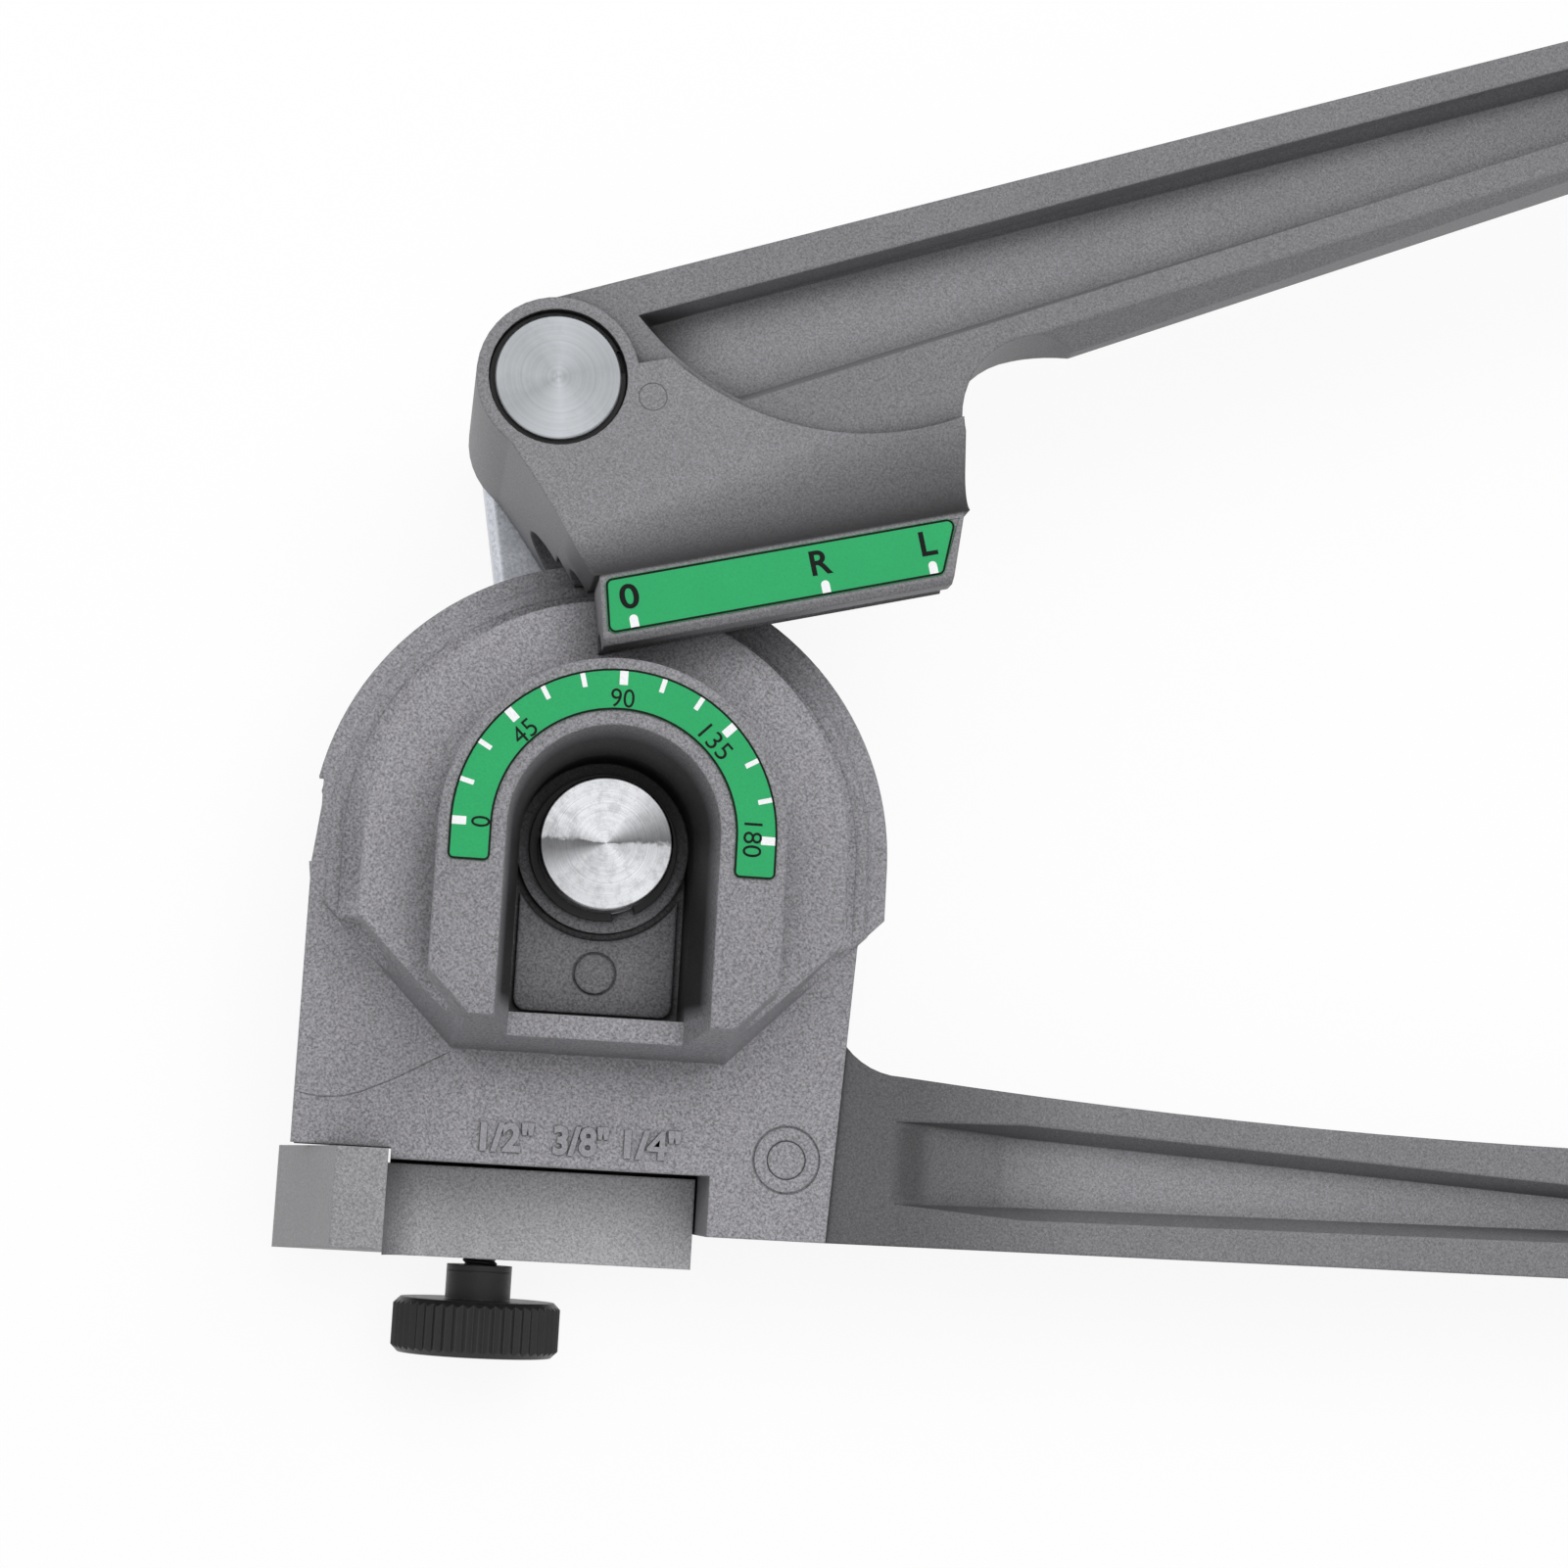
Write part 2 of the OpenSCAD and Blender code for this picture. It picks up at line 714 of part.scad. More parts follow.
module lower_channel(front) {
    face_z = front ? lower_beam_z : lower_back_z;
    depth = front ? -lower_channel_depth : lower_channel_depth;
    end_x = lower_straight_x - channel_stop;
    d = channel_draft;
    translate([0, -foot_end, 0]) channel(
        [[lower_channel_x, lower_channel_root_low],
            [lower_channel_bend_x, lower_channel_bend_low],
            [end_x, lower_channel_end_y],
            [end_x, lower_channel_end_y + lower_channel_end_h],
            [lower_channel_bend_x, lower_channel_bend_top],
            [lower_channel_x, lower_channel_root_top]],
        [[lower_channel_bend_x, lower_channel_bend_low + d],
            [end_x - d, lower_channel_end_y + d],
            [end_x - d, lower_channel_end_y + lower_channel_end_h - d],
            [lower_channel_bend_x, lower_channel_bend_top - d]],
        face_z, face_z + depth);
}

module lower_handle() {
    color("#6c6d70") difference() {
        union() {
            difference() {
                intersection() {
                    slab(lower_back_z, lower_beam_z) lower_outline();
                    rotate([90, 0, 0]) translate([0, 0, -far / 2]) linear_extrude(far) lower_plan();
                }
                lower_channel(true);
                lower_channel(false);
            }
            translate([lower_straight_x, lower_core_y, lower_grip_z]) handle_core(lower_core_l, 0);
            tang();
        }
        translate([dowel_x, dowel_y, -over]) cylinder(h = far, d = dowel_d);
    }
}

// Tang that the plate's socket holds
module tang() {
    tang_x = plate_edge_end_x - tang_l + tang_gap;
    translate([tang_x, tang_y + tang_gap, tang_z + tang_gap])
        cube([plate_edge_top_x + over - tang_x, tang_h - 2 * tang_gap, tang_t - 2 * tang_gap]);
}

module handle_dowel() {
    color("#85868a") translate([dowel_x, dowel_y, wheel_back_z])
        cylinder(h = plate_z - wheel_back_z, d = dowel_d);
}

// Grip sleeve along X, open at both ends for the core
module grip() {
    color("#1b1b1d") difference() {
        rotate([90, 0, 90]) linear_extrude(grip_l) round_rect(grip_h, grip_t, grip_t / 2 - grip_gap);
        translate([-over, -core_h / 2 - grip_gap, -core_t / 2 - grip_gap])
            cube([grip_l + 2 * over, core_h + 2 * grip_gap, core_t + 2 * grip_gap]);
    }
}

module lower_grip() {
    translate([lower_straight_x + seat_gap, lower_core_y, lower_grip_z]) grip();
}

module thread_insert() {
    color("#b59a4c") translate([-screw_x, -plate_end, screw_z]) rotate([-90, 0, 0]) difference() {
        cylinder(h = insert_l, d = insert_d);
        translate([0, 0, -over]) cylinder(h = insert_l + 2 * over, r = stud_d / 2 + stud_fit);
    }
}

// Straight bar with round ends, along X, with both front and back edges chamfered
module link_bar() {
    r = link_w / 2;
    in_r = r - link_chamfer;
    module layer(z0, z1, r0, r1) {
        for (x = [0, pin_centres]) {
            translate([x, 0, z0]) cylinder(h = z1 - z0, r1 = r0, r2 = r1);
        }
        rotate([90, 0, 90]) linear_extrude(pin_centres)
            polygon([[-r0, z0], [r0, z0], [r1, z1], [-r1, z1]]);
    }
    layer(0, link_chamfer, in_r, r);
    layer(link_chamfer, link_t - link_chamfer, r, r);
    layer(link_t - link_chamfer, link_t, r, in_r);
}

module link_plate() {
    color("#aeb4bd") translate([0, 0, link_z]) rotate([0, 0, pin_direction]) difference() {
        link_bar();
        translate([0, 0, -over]) cylinder(h = far, d = centre_pin_d * pin_shank_share);
        translate([pin_centres, 0, -over]) cylinder(h = far, d = upper_pin_d * pin_shank_share);
    }
}

// Headed pin: head behind the link, shank through it, fat journal in front, ring groove
module headed_pin(d, top_z, ring_z) {
    color("#c9ccd1") difference() {
        union() {
            cylinder(h = pin_head_t, d = d);
            cylinder(h = top_z - pin_chamfer, d = d * pin_shank_share);
            translate([0, 0, link_top_z]) cylinder(h = top_z - pin_chamfer - link_top_z, d = d);
            translate([0, 0, top_z - pin_chamfer])
                cylinder(h = pin_chamfer, r1 = d / 2, r2 = d / 2 - pin_chamfer);
        }
        translate([0, 0, ring_z]) difference() {
            cylinder(h = ring_t, r = d);
            translate([0, 0, -over]) cylinder(h = ring_t + 2 * over, r = d / 2 - ring_groove_depth);
        }
    }
}

// Open retaining ring that sits in a pin's groove
module retaining_ring(pin_r, w) {
    in_r = pin_r - ring_groove_depth + ring_fit;
    color("#232325") difference() {
        cylinder(h = ring_t - seat_gap, r = in_r + w);
        translate([0, 0, -over]) cylinder(h = ring_t + 2 * over, r = in_r);
        translate([0, -ring_gap_w / 2, -over]) cube([far, ring_gap_w, ring_t + 2 * over]);
    }
}

module centre_pin() {
    headed_pin(centre_pin_d, centre_pin_top_z, boss_z + seat_gap);
}

module upper_pin() {
    translate([pivot[0], pivot[1], 0]) headed_pin(upper_pin_d, web_z, web_z - upper_ring_depth);
}

module centre_ring() {
    translate([0, 0, boss_z + seat_gap]) rotate([0, 0, centre_ring_turn])
        retaining_ring(centre_pin_d / 2, ring_w);
}

module upper_ring() {
    translate([pivot[0], pivot[1], web_z - upper_ring_depth]) rotate([0, 0, upper_ring_turn])
        retaining_ring(upper_pin_d / 2, upper_ring_w);
}

// Thrust washer on a pin, between the link and what turns on the pin
module thrust_washer(pin_d) {
    color("#c08a4a") translate([0, 0, link_top_z]) difference() {
        cylinder(h = thrust_t - seat_gap / 2, r = pin_d / 2 + thrust_rim);
        translate([0, 0, -over]) cylinder(h = thrust_t + 2 * over, r = pin_d / 2 + pin_fit);
    }
}

module centre_thrust_washer() {
    thrust_washer(centre_pin_d);
}

module upper_thrust_washer() {
    translate([pivot[0], pivot[1], 0]) thrust_washer(upper_pin_d);
}

// Puts a piece drawn in the closed shoe's frame onto the upper pin, lifted
module on_pivot() {
    translate([pivot[0], pivot[1], 0]) rotate([0, 0, shoe_lift]) children();
}

// Side outline of the boss and the shoe down to a level, in the shoe's frame
module shoe_outline(right_low, right_high, low_y) {
    flank_top = lug_r * flank_top_share * [cos(flank_top_turn), sin(flank_top_turn)];
    intersection() {
        polygon(concat(
            [[0, 0]],
            bow_points(flank_top, [shoe_left_x, panel_top_y], flank_bow, flank_steps),
            [[shoe_left_x, lip_y],
                [right_low, lip_y],
                [right_low, panel_top_y],
                [right_high, throat_y],
                [right_high, 0]]
        ));
        translate([-far / 2, low_y]) square(far);
    }
}

// Corner of the upper beam's end, which is square to the grip; side is 1 at the top and -1 below
function upper_end_corner(slope, side) =
    let (run = side * upper_end_half_h / (cos(upper_axis_turn) + tan(slope) * sin(upper_axis_turn)))
    [upper_straight_x - run * sin(upper_axis_turn), upper_axis_y + run * cos(upper_axis_turn)];

// Side outline of the upper beam, in the shoe's frame
module upper_outline() {
    polygon([
        [upper_top_x, upper_top_y],
        [0, 0],
        [rear_block_right_x, upper_under_y],
        [upper_under_x, upper_under_y],
        upper_end_corner(upper_under_slope, -1),
        upper_end_corner(upper_top_slope, 1)
    ]);
}

// Half space below a sloped edge of the beam, tilted away from the beam's face
module edge_bevel(z, turn) {
    translate([upper_edge_x, upper_edge_y, z])
        rotate([0, 0, upper_edge_slope])
            rotate([turn, 0, 0])
                translate([-far / 2, -far, -far / 2]) cube(far);
}

// Upper beam with both of its lower edges bevelled
module upper_beam() {
    difference() {
        slab(upper_back_z, upper_beam_z) upper_outline();
        edge_bevel(upper_beam_z, -upper_bevel_turn);
        edge_bevel(upper_back_z, upper_bevel_turn);
    }
}

// Channel in the front of the beam, rounded where it runs up to the boss
module front_channel() {
    end_x = upper_straight_x - channel_stop;
    top = [end_x, line_at(upper_top_x, upper_top_y, upper_top_slope, end_x) - upper_flange_w];
    low = [end_x,
        line_at(upper_under_x, upper_under_y, upper_under_slope, end_x) + upper_flange_low_w];
    a0 = atan2(channel_tip_y - sweep_y, channel_tip_x - sweep_x);
    a1 = atan2(channel_heel_y - sweep_y, channel_heel_x - sweep_x);
    d = channel_draft;
    channel(
        concat(arc_points([sweep_x, sweep_y], channel_arc_r, a0, a1, channel_arc_steps), [low, top]),
        concat(
            arc_points([sweep_x, sweep_y], channel_arc_r - d, a0 + d, a1 - d, channel_arc_steps),
            [[low[0] - d, low[1] + channel_low_draft], [top[0] - d, top[1] - d]]),
        upper_beam_z, upper_beam_z - upper_channel_depth);
}

// Channel in the back of the beam, beyond the shoe
module rear_channel() {
    end_x = upper_straight_x - channel_stop;
    d = channel_draft;
    root_top = line_at(upper_top_x, upper_top_y, upper_top_slope, upper_rear_x) - upper_flange_w;
    end_top = line_at(upper_top_x, upper_top_y, upper_top_slope, end_x) - upper_flange_w;
    root_low = line_at(upper_under_x, upper_under_y, upper_under_slope, upper_rear_x)
        + upper_rear_low_w;
    end_low = line_at(upper_under_x, upper_under_y, upper_under_slope, end_x) + upper_rear_low_w;
    channel(
        [[upper_rear_x, root_low], [end_x, end_low], [end_x, end_top], [upper_rear_x, root_top]],
        [[upper_rear_x + d, root_low + d],
            [end_x - d, end_low + channel_low_draft],
            [end_x - d, end_top - d],
            [upper_rear_x + d, root_top - d]],
        upper_back_z, upper_back_z + upper_rear_channel_depth);
}

// Outline of the label panel
module panel_outline() {
    polygon([
        [panel_left_x + panel_slant_left, panel_top_y],
        [panel_left_x, lip_y],
        [panel_left_x + panel_l - panel_slant_right, lip_y],
        [panel_left_x + panel_l, panel_top_y]
    ]);
}

// Blocks of the shoe, one per groove, that step down toward the wheel
module shoe_blocks() {
    slab(wheel_back_z, web_z) circle(lug_r);
    slab(wheel_back_z, web_z)
        shoe_outline(rear_block_right_x, rear_block_right_x, step_3_y);
    slab(upper_back_z, web_z) shoe_outline(shoe_right_x, web_right_x, step_3_y);
    slab(plate_z + cradle_h + slide_gap, web_z)
        shoe_outline(shoe_right_x, web_right_x, step_2_y);
    difference() {
        slab(way_1_z + slide_gap, dial_z) panel_outline();
        panel_wall();
    }
    panel_ramp();
    slab(upper_back_z, web_z) translate([shoe_right_x - over, throat_y])
        square([throat_x - shoe_right_x + over, throat_top_y - throat_y]);
}

// Wedge that drafts the wall below the label panel
module panel_wall() {
    translate([far / 2, 0, 0]) rotate([0, -90, 0]) linear_extrude(far) polygon([
        [dial_z, lip_y - over],
        [dial_z + over, lip_y - over],
        [dial_z + over, lip_y + panel_draft_w],
        [dial_z, lip_y + panel_draft_w],
        [panel_wall_z, lip_y],
        [panel_wall_z, lip_y - over]
    ]);
}

// Cove that runs from the label panel down to the web
module panel_ramp() {
    difference() {
        slab(way_1_z + slide_gap, dial_z) intersection() {
            shoe_outline(shoe_right_x, web_right_x, panel_top_y);
            translate([-far / 2, panel_top_y]) square([far, cove_run]);
        }
        translate([-far / 2, panel_top_y + cove_run, web_z + cove_r])
            rotate([0, 90, 0]) cylinder(h = far, r = cove_r);
    }
}

// Straight half-round groove in the shoe over one tube way
module shoe_groove(bend_r, z0, w) {
    translate([-far / 2, bend_r - shoe_drop, z0 + w / 2])
        rotate([0, 90, 0]) cylinder(h = far, d = w - 2 * way_land);
}

module upper_handle() {
    color("#6c6d70") on_pivot() difference() {
        union() {
            difference() {
                union() {
                    shoe_blocks();
                    upper_beam();
                }
                translate([throat_x, throat_y, upper_back_z - over]) cylinder(h = far, r = throat_r);
                translate([sweep_x, sweep_y, upper_beam_z]) cylinder(h = far, r = sweep_r);
                front_channel();
                rear_channel();
            }
            translate([upper_straight_x, upper_axis_y, upper_grip_z])
                rotate([0, 0, upper_axis_turn]) handle_core(upper_core_l, over);
        }
        shoe_groove(way_1_r, way_1_z, way_1_w);
        shoe_groove(way_2_r, way_2_z, way_2_w);
        shoe_groove(way_3_r, way_3_z, way_3_w);
        translate([0, 0, wheel_back_z - over]) cylinder(h = far, r = upper_pin_d / 2 + pin_fit);
        translate([0, 0, web_z - upper_ring_depth - seat_gap])
            cylinder(h = far, r = upper_pin_d / 2 + upper_ring_room);
        translate([0, 0, -seat_gap]) shoe_label_outline(dial_z);
    }
}

module shoe_label_outline(z0) {
    slab(z0, z0 + label_t) polygon([
        [panel_left_x + panel_slant_left + label_margin_x, panel_top_y - label_margin_y],
        [panel_left_x + label_margin_x, lip_y + panel_draft_w + label_margin_y],
        [panel_left_x + panel_l - panel_slant_right - label_margin_x,
            lip_y + panel_draft_w + label_margin_y],
        [panel_left_x + panel_l - label_margin_x, panel_top_y - label_margin_y]
    ]);
}

module shoe_label() {
    color("#3cb26a") on_pivot() translate([0, 0, -seat_gap]) shoe_label_outline(dial_z);
}

module upper_grip() {
    on_pivot() translate([upper_straight_x, upper_axis_y, upper_grip_z])
        rotate([0, 0, upper_axis_turn]) translate([seat_gap, 0, 0]) grip();
}

// Flared head of the latch, with a drafted lower end
module hook_head() {
    difference() {
        translate([0, hook_top_y, 0]) rotate([90, 0, 0]) linear_extrude(hook_top_y - bar_end_y)
            polygon([
                [jaw_x, bar_back_z],
                [jaw_x, hook_top_z],
                [jaw_x - hook_face_w, hook_top_z],
                [jaw_x - hook_face_w - hook_flare, bar_back_z]
            ]);
        translate([-far / 2, bar_end_y, bar_back_z])
            rotate([-hook_draft, 0, 0]) translate([0, -far, -far / 2]) cube(far);
    }
}

// Latch: slotted bar below the plate with a flared hook head in front of it
module latch_block() {
    color("#7b7c80") difference() {
        union() {
            translate([jaw_x, bar_end_y, bar_back_z]) cube([bar_right_x - jaw_x, bar_h, bar_t]);
            hook_head();
            translate([jaw_x, bar_end_y, bar_front_z - over]) cube([saddle_r, bar_h, saddle_r + over]);
        }
        translate([jaw_x + saddle_r, bar_end_y - over, bar_front_z + saddle_r])
            rotate([-90, 0, 0]) cylinder(h = bar_h + 2 * over, r = saddle_r);
        for (x = [-screw_x, slot_end_x]) {
            translate([x, bar_end_y - over, screw_z])
                rotate([-90, 0, 0]) cylinder(h = bar_h + 2 * over, d = slot_w);
        }
        translate([-screw_x, bar_end_y - over, screw_z - slot_w / 2])
            cube([latch_travel, bar_h + 2 * over, slot_w]);
    }
}

// Turns a piece drawn along Z so that it points up the screw's axis, from a place on it
module on_screw(y) {
    translate([-screw_x, y, screw_z]) rotate([-90, 0, 0]) children();
}

module screw_washer() {
    color("#2a2a2c") on_screw(neck_top_y) difference() {
        cylinder(h = washer_t, d = neck_d);
        translate([0, 0, -over]) cylinder(h = washer_t + 2 * over, r = stud_d / 2 + stud_fit);
    }
}

// Knurled outline: one flat-bottomed notch per tooth
function knurl_points(r) =
    [for (i = [0 : 2 * knurl_count - 1])
        let (a = i * 180 / knurl_count, rr = i % 2 == 0 ? r : r - knurl_depth)
        [rr * cos(a), rr * sin(a)]];

module thumb_knob() {
    r = knob_d / 2;
    color("#232325") on_screw(knob_end_y) difference() {
        union() {
            intersection() {
                linear_extrude(knob_t) polygon(knurl_points(r));
                rotate_extrude() polygon([
                    [0, 0],
                    [r - knob_chamfer, 0],
                    [r + knob_chamfer, 2 * knob_chamfer],
                    [r + knob_chamfer, knob_t - 2 * knob_chamfer],
                    [r - knob_chamfer, knob_t],
                    [0, knob_t]
                ]);
            }
            cylinder(h = knob_t + neck_l, d = neck_d);
        }
        translate([0, 0, knob_t + neck_l - stud_in_knob]) cylinder(h = far, d = stud_d);
    }
}

module knob_stud() {
    stud_foot_y = neck_top_y - stud_in_knob;
    color("#55565a") on_screw(stud_foot_y)
        cylinder(h = stud_in_insert - plate_end - stud_foot_y, d = stud_d);
}

forming_wheel();
dial_label();
lower_handle();
handle_dowel();
lower_grip();
thread_insert();
link_plate();
centre_pin();
upper_pin();
centre_ring();
upper_ring();
centre_thrust_washer();
upper_thrust_washer();
upper_handle();
shoe_label();
upper_grip();
latch_block();
screw_washer();
thumb_knob();
knob_stud();
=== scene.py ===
import math

import bmesh
import bpy
from mathutils import Matrix, Vector


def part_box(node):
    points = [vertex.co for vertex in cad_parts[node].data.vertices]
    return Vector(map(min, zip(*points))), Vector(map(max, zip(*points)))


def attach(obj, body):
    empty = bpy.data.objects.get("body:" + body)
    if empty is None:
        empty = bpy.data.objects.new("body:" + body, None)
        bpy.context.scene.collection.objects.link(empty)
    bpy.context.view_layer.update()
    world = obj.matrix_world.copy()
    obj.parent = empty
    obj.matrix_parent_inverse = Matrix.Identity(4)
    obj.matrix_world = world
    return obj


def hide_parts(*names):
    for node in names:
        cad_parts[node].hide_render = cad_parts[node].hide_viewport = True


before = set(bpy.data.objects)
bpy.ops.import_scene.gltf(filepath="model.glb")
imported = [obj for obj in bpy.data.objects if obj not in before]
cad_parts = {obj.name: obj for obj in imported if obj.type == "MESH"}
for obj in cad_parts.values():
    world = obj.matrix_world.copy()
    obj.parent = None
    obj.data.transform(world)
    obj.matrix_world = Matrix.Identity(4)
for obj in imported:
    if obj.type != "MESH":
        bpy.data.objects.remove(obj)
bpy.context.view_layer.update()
mm = 0.001
print("frame loaded with", len(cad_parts), "nodes")


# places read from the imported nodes, in millimetres
def cornersOf(node):
    low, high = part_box(node)
    return low / mm, high / mm


def middleOf(node):
    low, high = cornersOf(node)
    return (low + high) / 2


labelFoot, labelTop = (corner.z for corner in cornersOf("dial_label"))
plateFace = cornersOf("handle_dowel")[1].z
pivot = middleOf("upper_pin")
webFace = cornersOf("upper_pin")[1].z
shoeLift = math.radians(14.7)  # how far the photograph shows the shoe lifted
onFrame = Matrix.Identity(4)
onLever = Matrix.Translation((pivot.x, pivot.y, 0)) @ Matrix.Rotation(shoeLift, 4, "Z")


# small tools for meshes
def newPiece(name, verts, faces, place, body, material, smooth=False):
    mesh = bpy.data.meshes.new(name)
    mesh.from_pydata([place @ Vector(v) * mm for v in verts], [], faces)
    mesh.materials.append(material)
    mesh.polygons.foreach_set("use_smooth", [smooth] * len(mesh.polygons))
    shape = bmesh.new()
    shape.from_mesh(mesh)
    bmesh.ops.recalc_face_normals(shape, faces=shape.faces)
    shape.to_mesh(mesh)
    shape.free()
    piece = bpy.data.objects.new(name, mesh)
    bpy.context.scene.collection.objects.link(piece)
    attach(piece, body)
    return piece


def wallFaces(rings, around, joined=False):
    faces = []  # between rings of points that follow each other
    for i in range(rings if joined else rings - 1):
        for k in range(around):
            n, m = (i + 1) % rings, (k + 1) % around
            faces.append((i * around + k, i * around + m, n * around + m, n * around + k))
    return faces


def endFaces(rings, around):
    return [tuple(reversed(range(around))), tuple(range((rings - 1) * around, rings * around))]


def roundedLoop(corners, radius, steps=6):
    points = []  # convex outline, corners given anticlockwise
    for i, corner in enumerate(corners):
        here = Vector(corner)
        toLast = (Vector(corners[i - 1]) - here).normalized()
        toNext = (Vector(corners[(i + 1) % len(corners)]) - here).normalized()
        half = toLast.angle(toNext) / 2
        middle = here + (toLast + toNext).normalized() * (radius / math.sin(half))
        first = math.atan2(*reversed(here + toLast * (radius / math.tan(half)) - middle))
        sweep = math.pi - 2 * half
        for k in range(steps + 1):
            a = first + sweep * k / steps
            points.append((middle.x + radius * math.cos(a), middle.y + radius * math.sin(a)))
    return points


def shiftedIn(corners, inset):
    lines = []  # each edge of a convex outline, moved in
    for i, corner in enumerate(corners):
        a, b = Vector(corner), Vector(corners[(i + 1) % len(corners)])
        run = (b - a).normalized()
        lines.append((a + Vector((-run.y, run.x)) * inset, run))
    out = []
    for i, (a, run) in enumerate(lines):
        b, other = lines[i - 1]
        t = ((b - a).x * other.y - (b - a).y * other.x) / (run.x * other.y - run.y * other.x)
        out.append(tuple(a + run * t))
    return out


def slabPiece(name, loop, foot, top, place, body, material, lip=0, lipLoop=None):
    rings = [(loop, foot), (loop, top - lip)] + ([(lipLoop, top)] if lip else [])
    verts = [(x, y, z) for ring, z in rings for x, y in ring]
    faces = endFaces(len(rings), len(loop)) + wallFaces(len(rings), len(loop))
    return newPiece(name, verts, faces, place, body, material)


def stripPiece(name, outer, inner, foot, top, place, body, material):
    rings = ((outer, foot), (outer, top), (inner, top), (inner, foot))
    verts = [(x, y, z) for ring, z in rings for x, y in ring]
    faces = wallFaces(len(rings), len(outer), joined=True)
    return newPiece(name, verts, faces, place, body, material)


def wordPiece(name, words, look, place, body, material):
    curve = bpy.data.curves.new(name, "FONT")
    curve.body = words
    curve.resolution_u = look.get("smoothness", 6)
    curve.offset = look["weight"]
    curve.extrude = 0.5  # stretched to the real height below
    curve.bevel_depth = look.get("softEdge", 0)
    curve.bevel_resolution = 2
    holder = bpy.data.objects.new(name, curve)
    bpy.context.scene.collection.objects.link(holder)
    bpy.context.view_layer.update()
    raw = bpy.data.meshes.new_from_object(
        holder.evaluated_get(bpy.context.evaluated_depsgraph_get()))
    bpy.data.objects.remove(holder)
    shape = bmesh.new()
    shape.from_mesh(raw)
    bmesh.ops.remove_doubles(shape, verts=shape.verts, dist=1e-5)  # the seams of its faces
    lows = [min(v.co[k] for v in shape.verts) for k in range(3)]
    highs = [max(v.co[k] for v in shape.verts) for k in range(3)]
    size = (look["width"], look["height"], look["top"] - look["foot"])
    goal = Vector((look["x"], look["y"], (look["top"] + look["foot"]) / 2))
    turn = Matrix.Rotation(math.radians(look.get("turn", 0)), 3, "Z")
    verts = []
    for v in shape.verts:
        p = Vector([(v.co[k] - (lows[k] + highs[k]) / 2) / (highs[k] - lows[k]) * size[k]
                    for k in range(3)])
        verts.append(tuple(turn @ p + goal))
    shape.verts.ensure_lookup_table()
    faces = [tuple(v.index for v in f.verts) for f in shape.faces]
    shape.free()
    bpy.data.meshes.remove(raw)
    return newPiece(name, verts, faces, place, body, material)


def wirePiece(name, path, radius, place, body, material, closed=False, sides=8, tip=0.3):
    points = [Vector(p) for p in path]
    count = len(points)
    verts = []
    for i, here in enumerate(points):
        ahead = points[(i + 1) % count] if closed or i < count - 1 else here
        behind = points[i - 1] if closed or i > 0 else here
        side = (ahead - behind).normalized().cross(Vector((0, 0, 1)))
        thin = radius if closed or 0 < i < count - 1 else radius * tip
        for k in range(sides):
            a = 2 * math.pi * k / sides
            verts.append(tuple(here + (side * math.cos(a) + Vector((0, 0, math.sin(a)))) * thin))
    faces = wallFaces(count, sides, joined=closed) + ([] if closed else endFaces(count, sides))
    return newPiece(name, verts, faces, place, body, material, smooth=True)


def ringPath(mark, z, steps=48):
    turns = [2 * math.pi * k / steps for k in range(steps)]
    return [(mark["x"] + mark["r"] * math.cos(a), mark["y"] + mark["r"] * math.sin(a), z)
            for a in turns]


# small tools for materials
wideNoise = (0.3, 0.7)  # nearly all of a noise's values lie in here
mainNoise = (0.35, 0.65)  # and most of them in here


def addNode(tree, kind, inputs=None, **settings):
    node = tree.nodes.new("ShaderNode" + kind)
    for key, value in settings.items():
        setattr(node, key, value)
    for key, value in (inputs or {}).items():
        if isinstance(value, bpy.types.NodeSocket):
            tree.links.new(value, node.inputs[key])
        else:
            node.inputs[key].default_value = value
    return node


def startMaterial(name, metal, specular=0.5):
    material = bpy.data.materials.new(name)
    material.use_nodes = True
    tree = material.node_tree
    shader = tree.nodes["Principled BSDF"]
    shader.inputs["Metallic"].default_value = metal
    shader.inputs["Specular IOR Level"].default_value = specular
    place = addNode(tree, "TexCoord").outputs["Object"]
    return material, tree, shader, place


def noiseAt(tree, place, sizeMm, detail=2.0, roughness=0.6):
    askew = addNode(tree, "Mapping", {"Vector": place, "Rotation": (0.6, 0.4, 0.8)})
    return addNode(tree, "TexNoise", {"Vector": askew.outputs[0], "Scale": 1 / (sizeMm * mm),
                                      "Detail": detail, "Roughness": roughness}).outputs["Fac"]


def spread(tree, value, low, high, toLow=0.0, toHigh=1.0):
    return addNode(tree, "MapRange", {"Value": value, "From Min": low, "From Max": high,
                                      "To Min": toLow, "To Max": toHigh}).outputs["Result"]


def worked(tree, operation, *values):
    return addNode(tree, "Math", dict(enumerate(values)), operation=operation).outputs[0]


def product(tree, share, *others):
    for other in others:
        share = worked(tree, "MULTIPLY", share, other)
    return share


def axesOf(tree, vector):
    return addNode(tree, "SeparateXYZ", {0: vector}).outputs


def lengthOf(tree, vector):
    return addNode(tree, "VectorMath", {0: vector}, operation="LENGTH").outputs["Value"]


def facingUp(tree):
    return axesOf(tree, addNode(tree, "NewGeometry").outputs["Normal"])[2]


def blended(tree, factor, first, second, mode="MIX"):
    node = addNode(tree, "Mix", data_type="RGBA", blend_type=mode)
    for socket, value in ((node.inputs[0], factor), (node.inputs[6], first),
                          (node.inputs[7], second)):
        if isinstance(value, bpy.types.NodeSocket):
            tree.links.new(value, socket)
        else:
            socket.default_value = value
    return node.outputs[2]


def grey(level):
    return (level, level, level, 1)


def scaled(colour, share):
    return tuple(c * share for c in colour[:3]) + (1,)


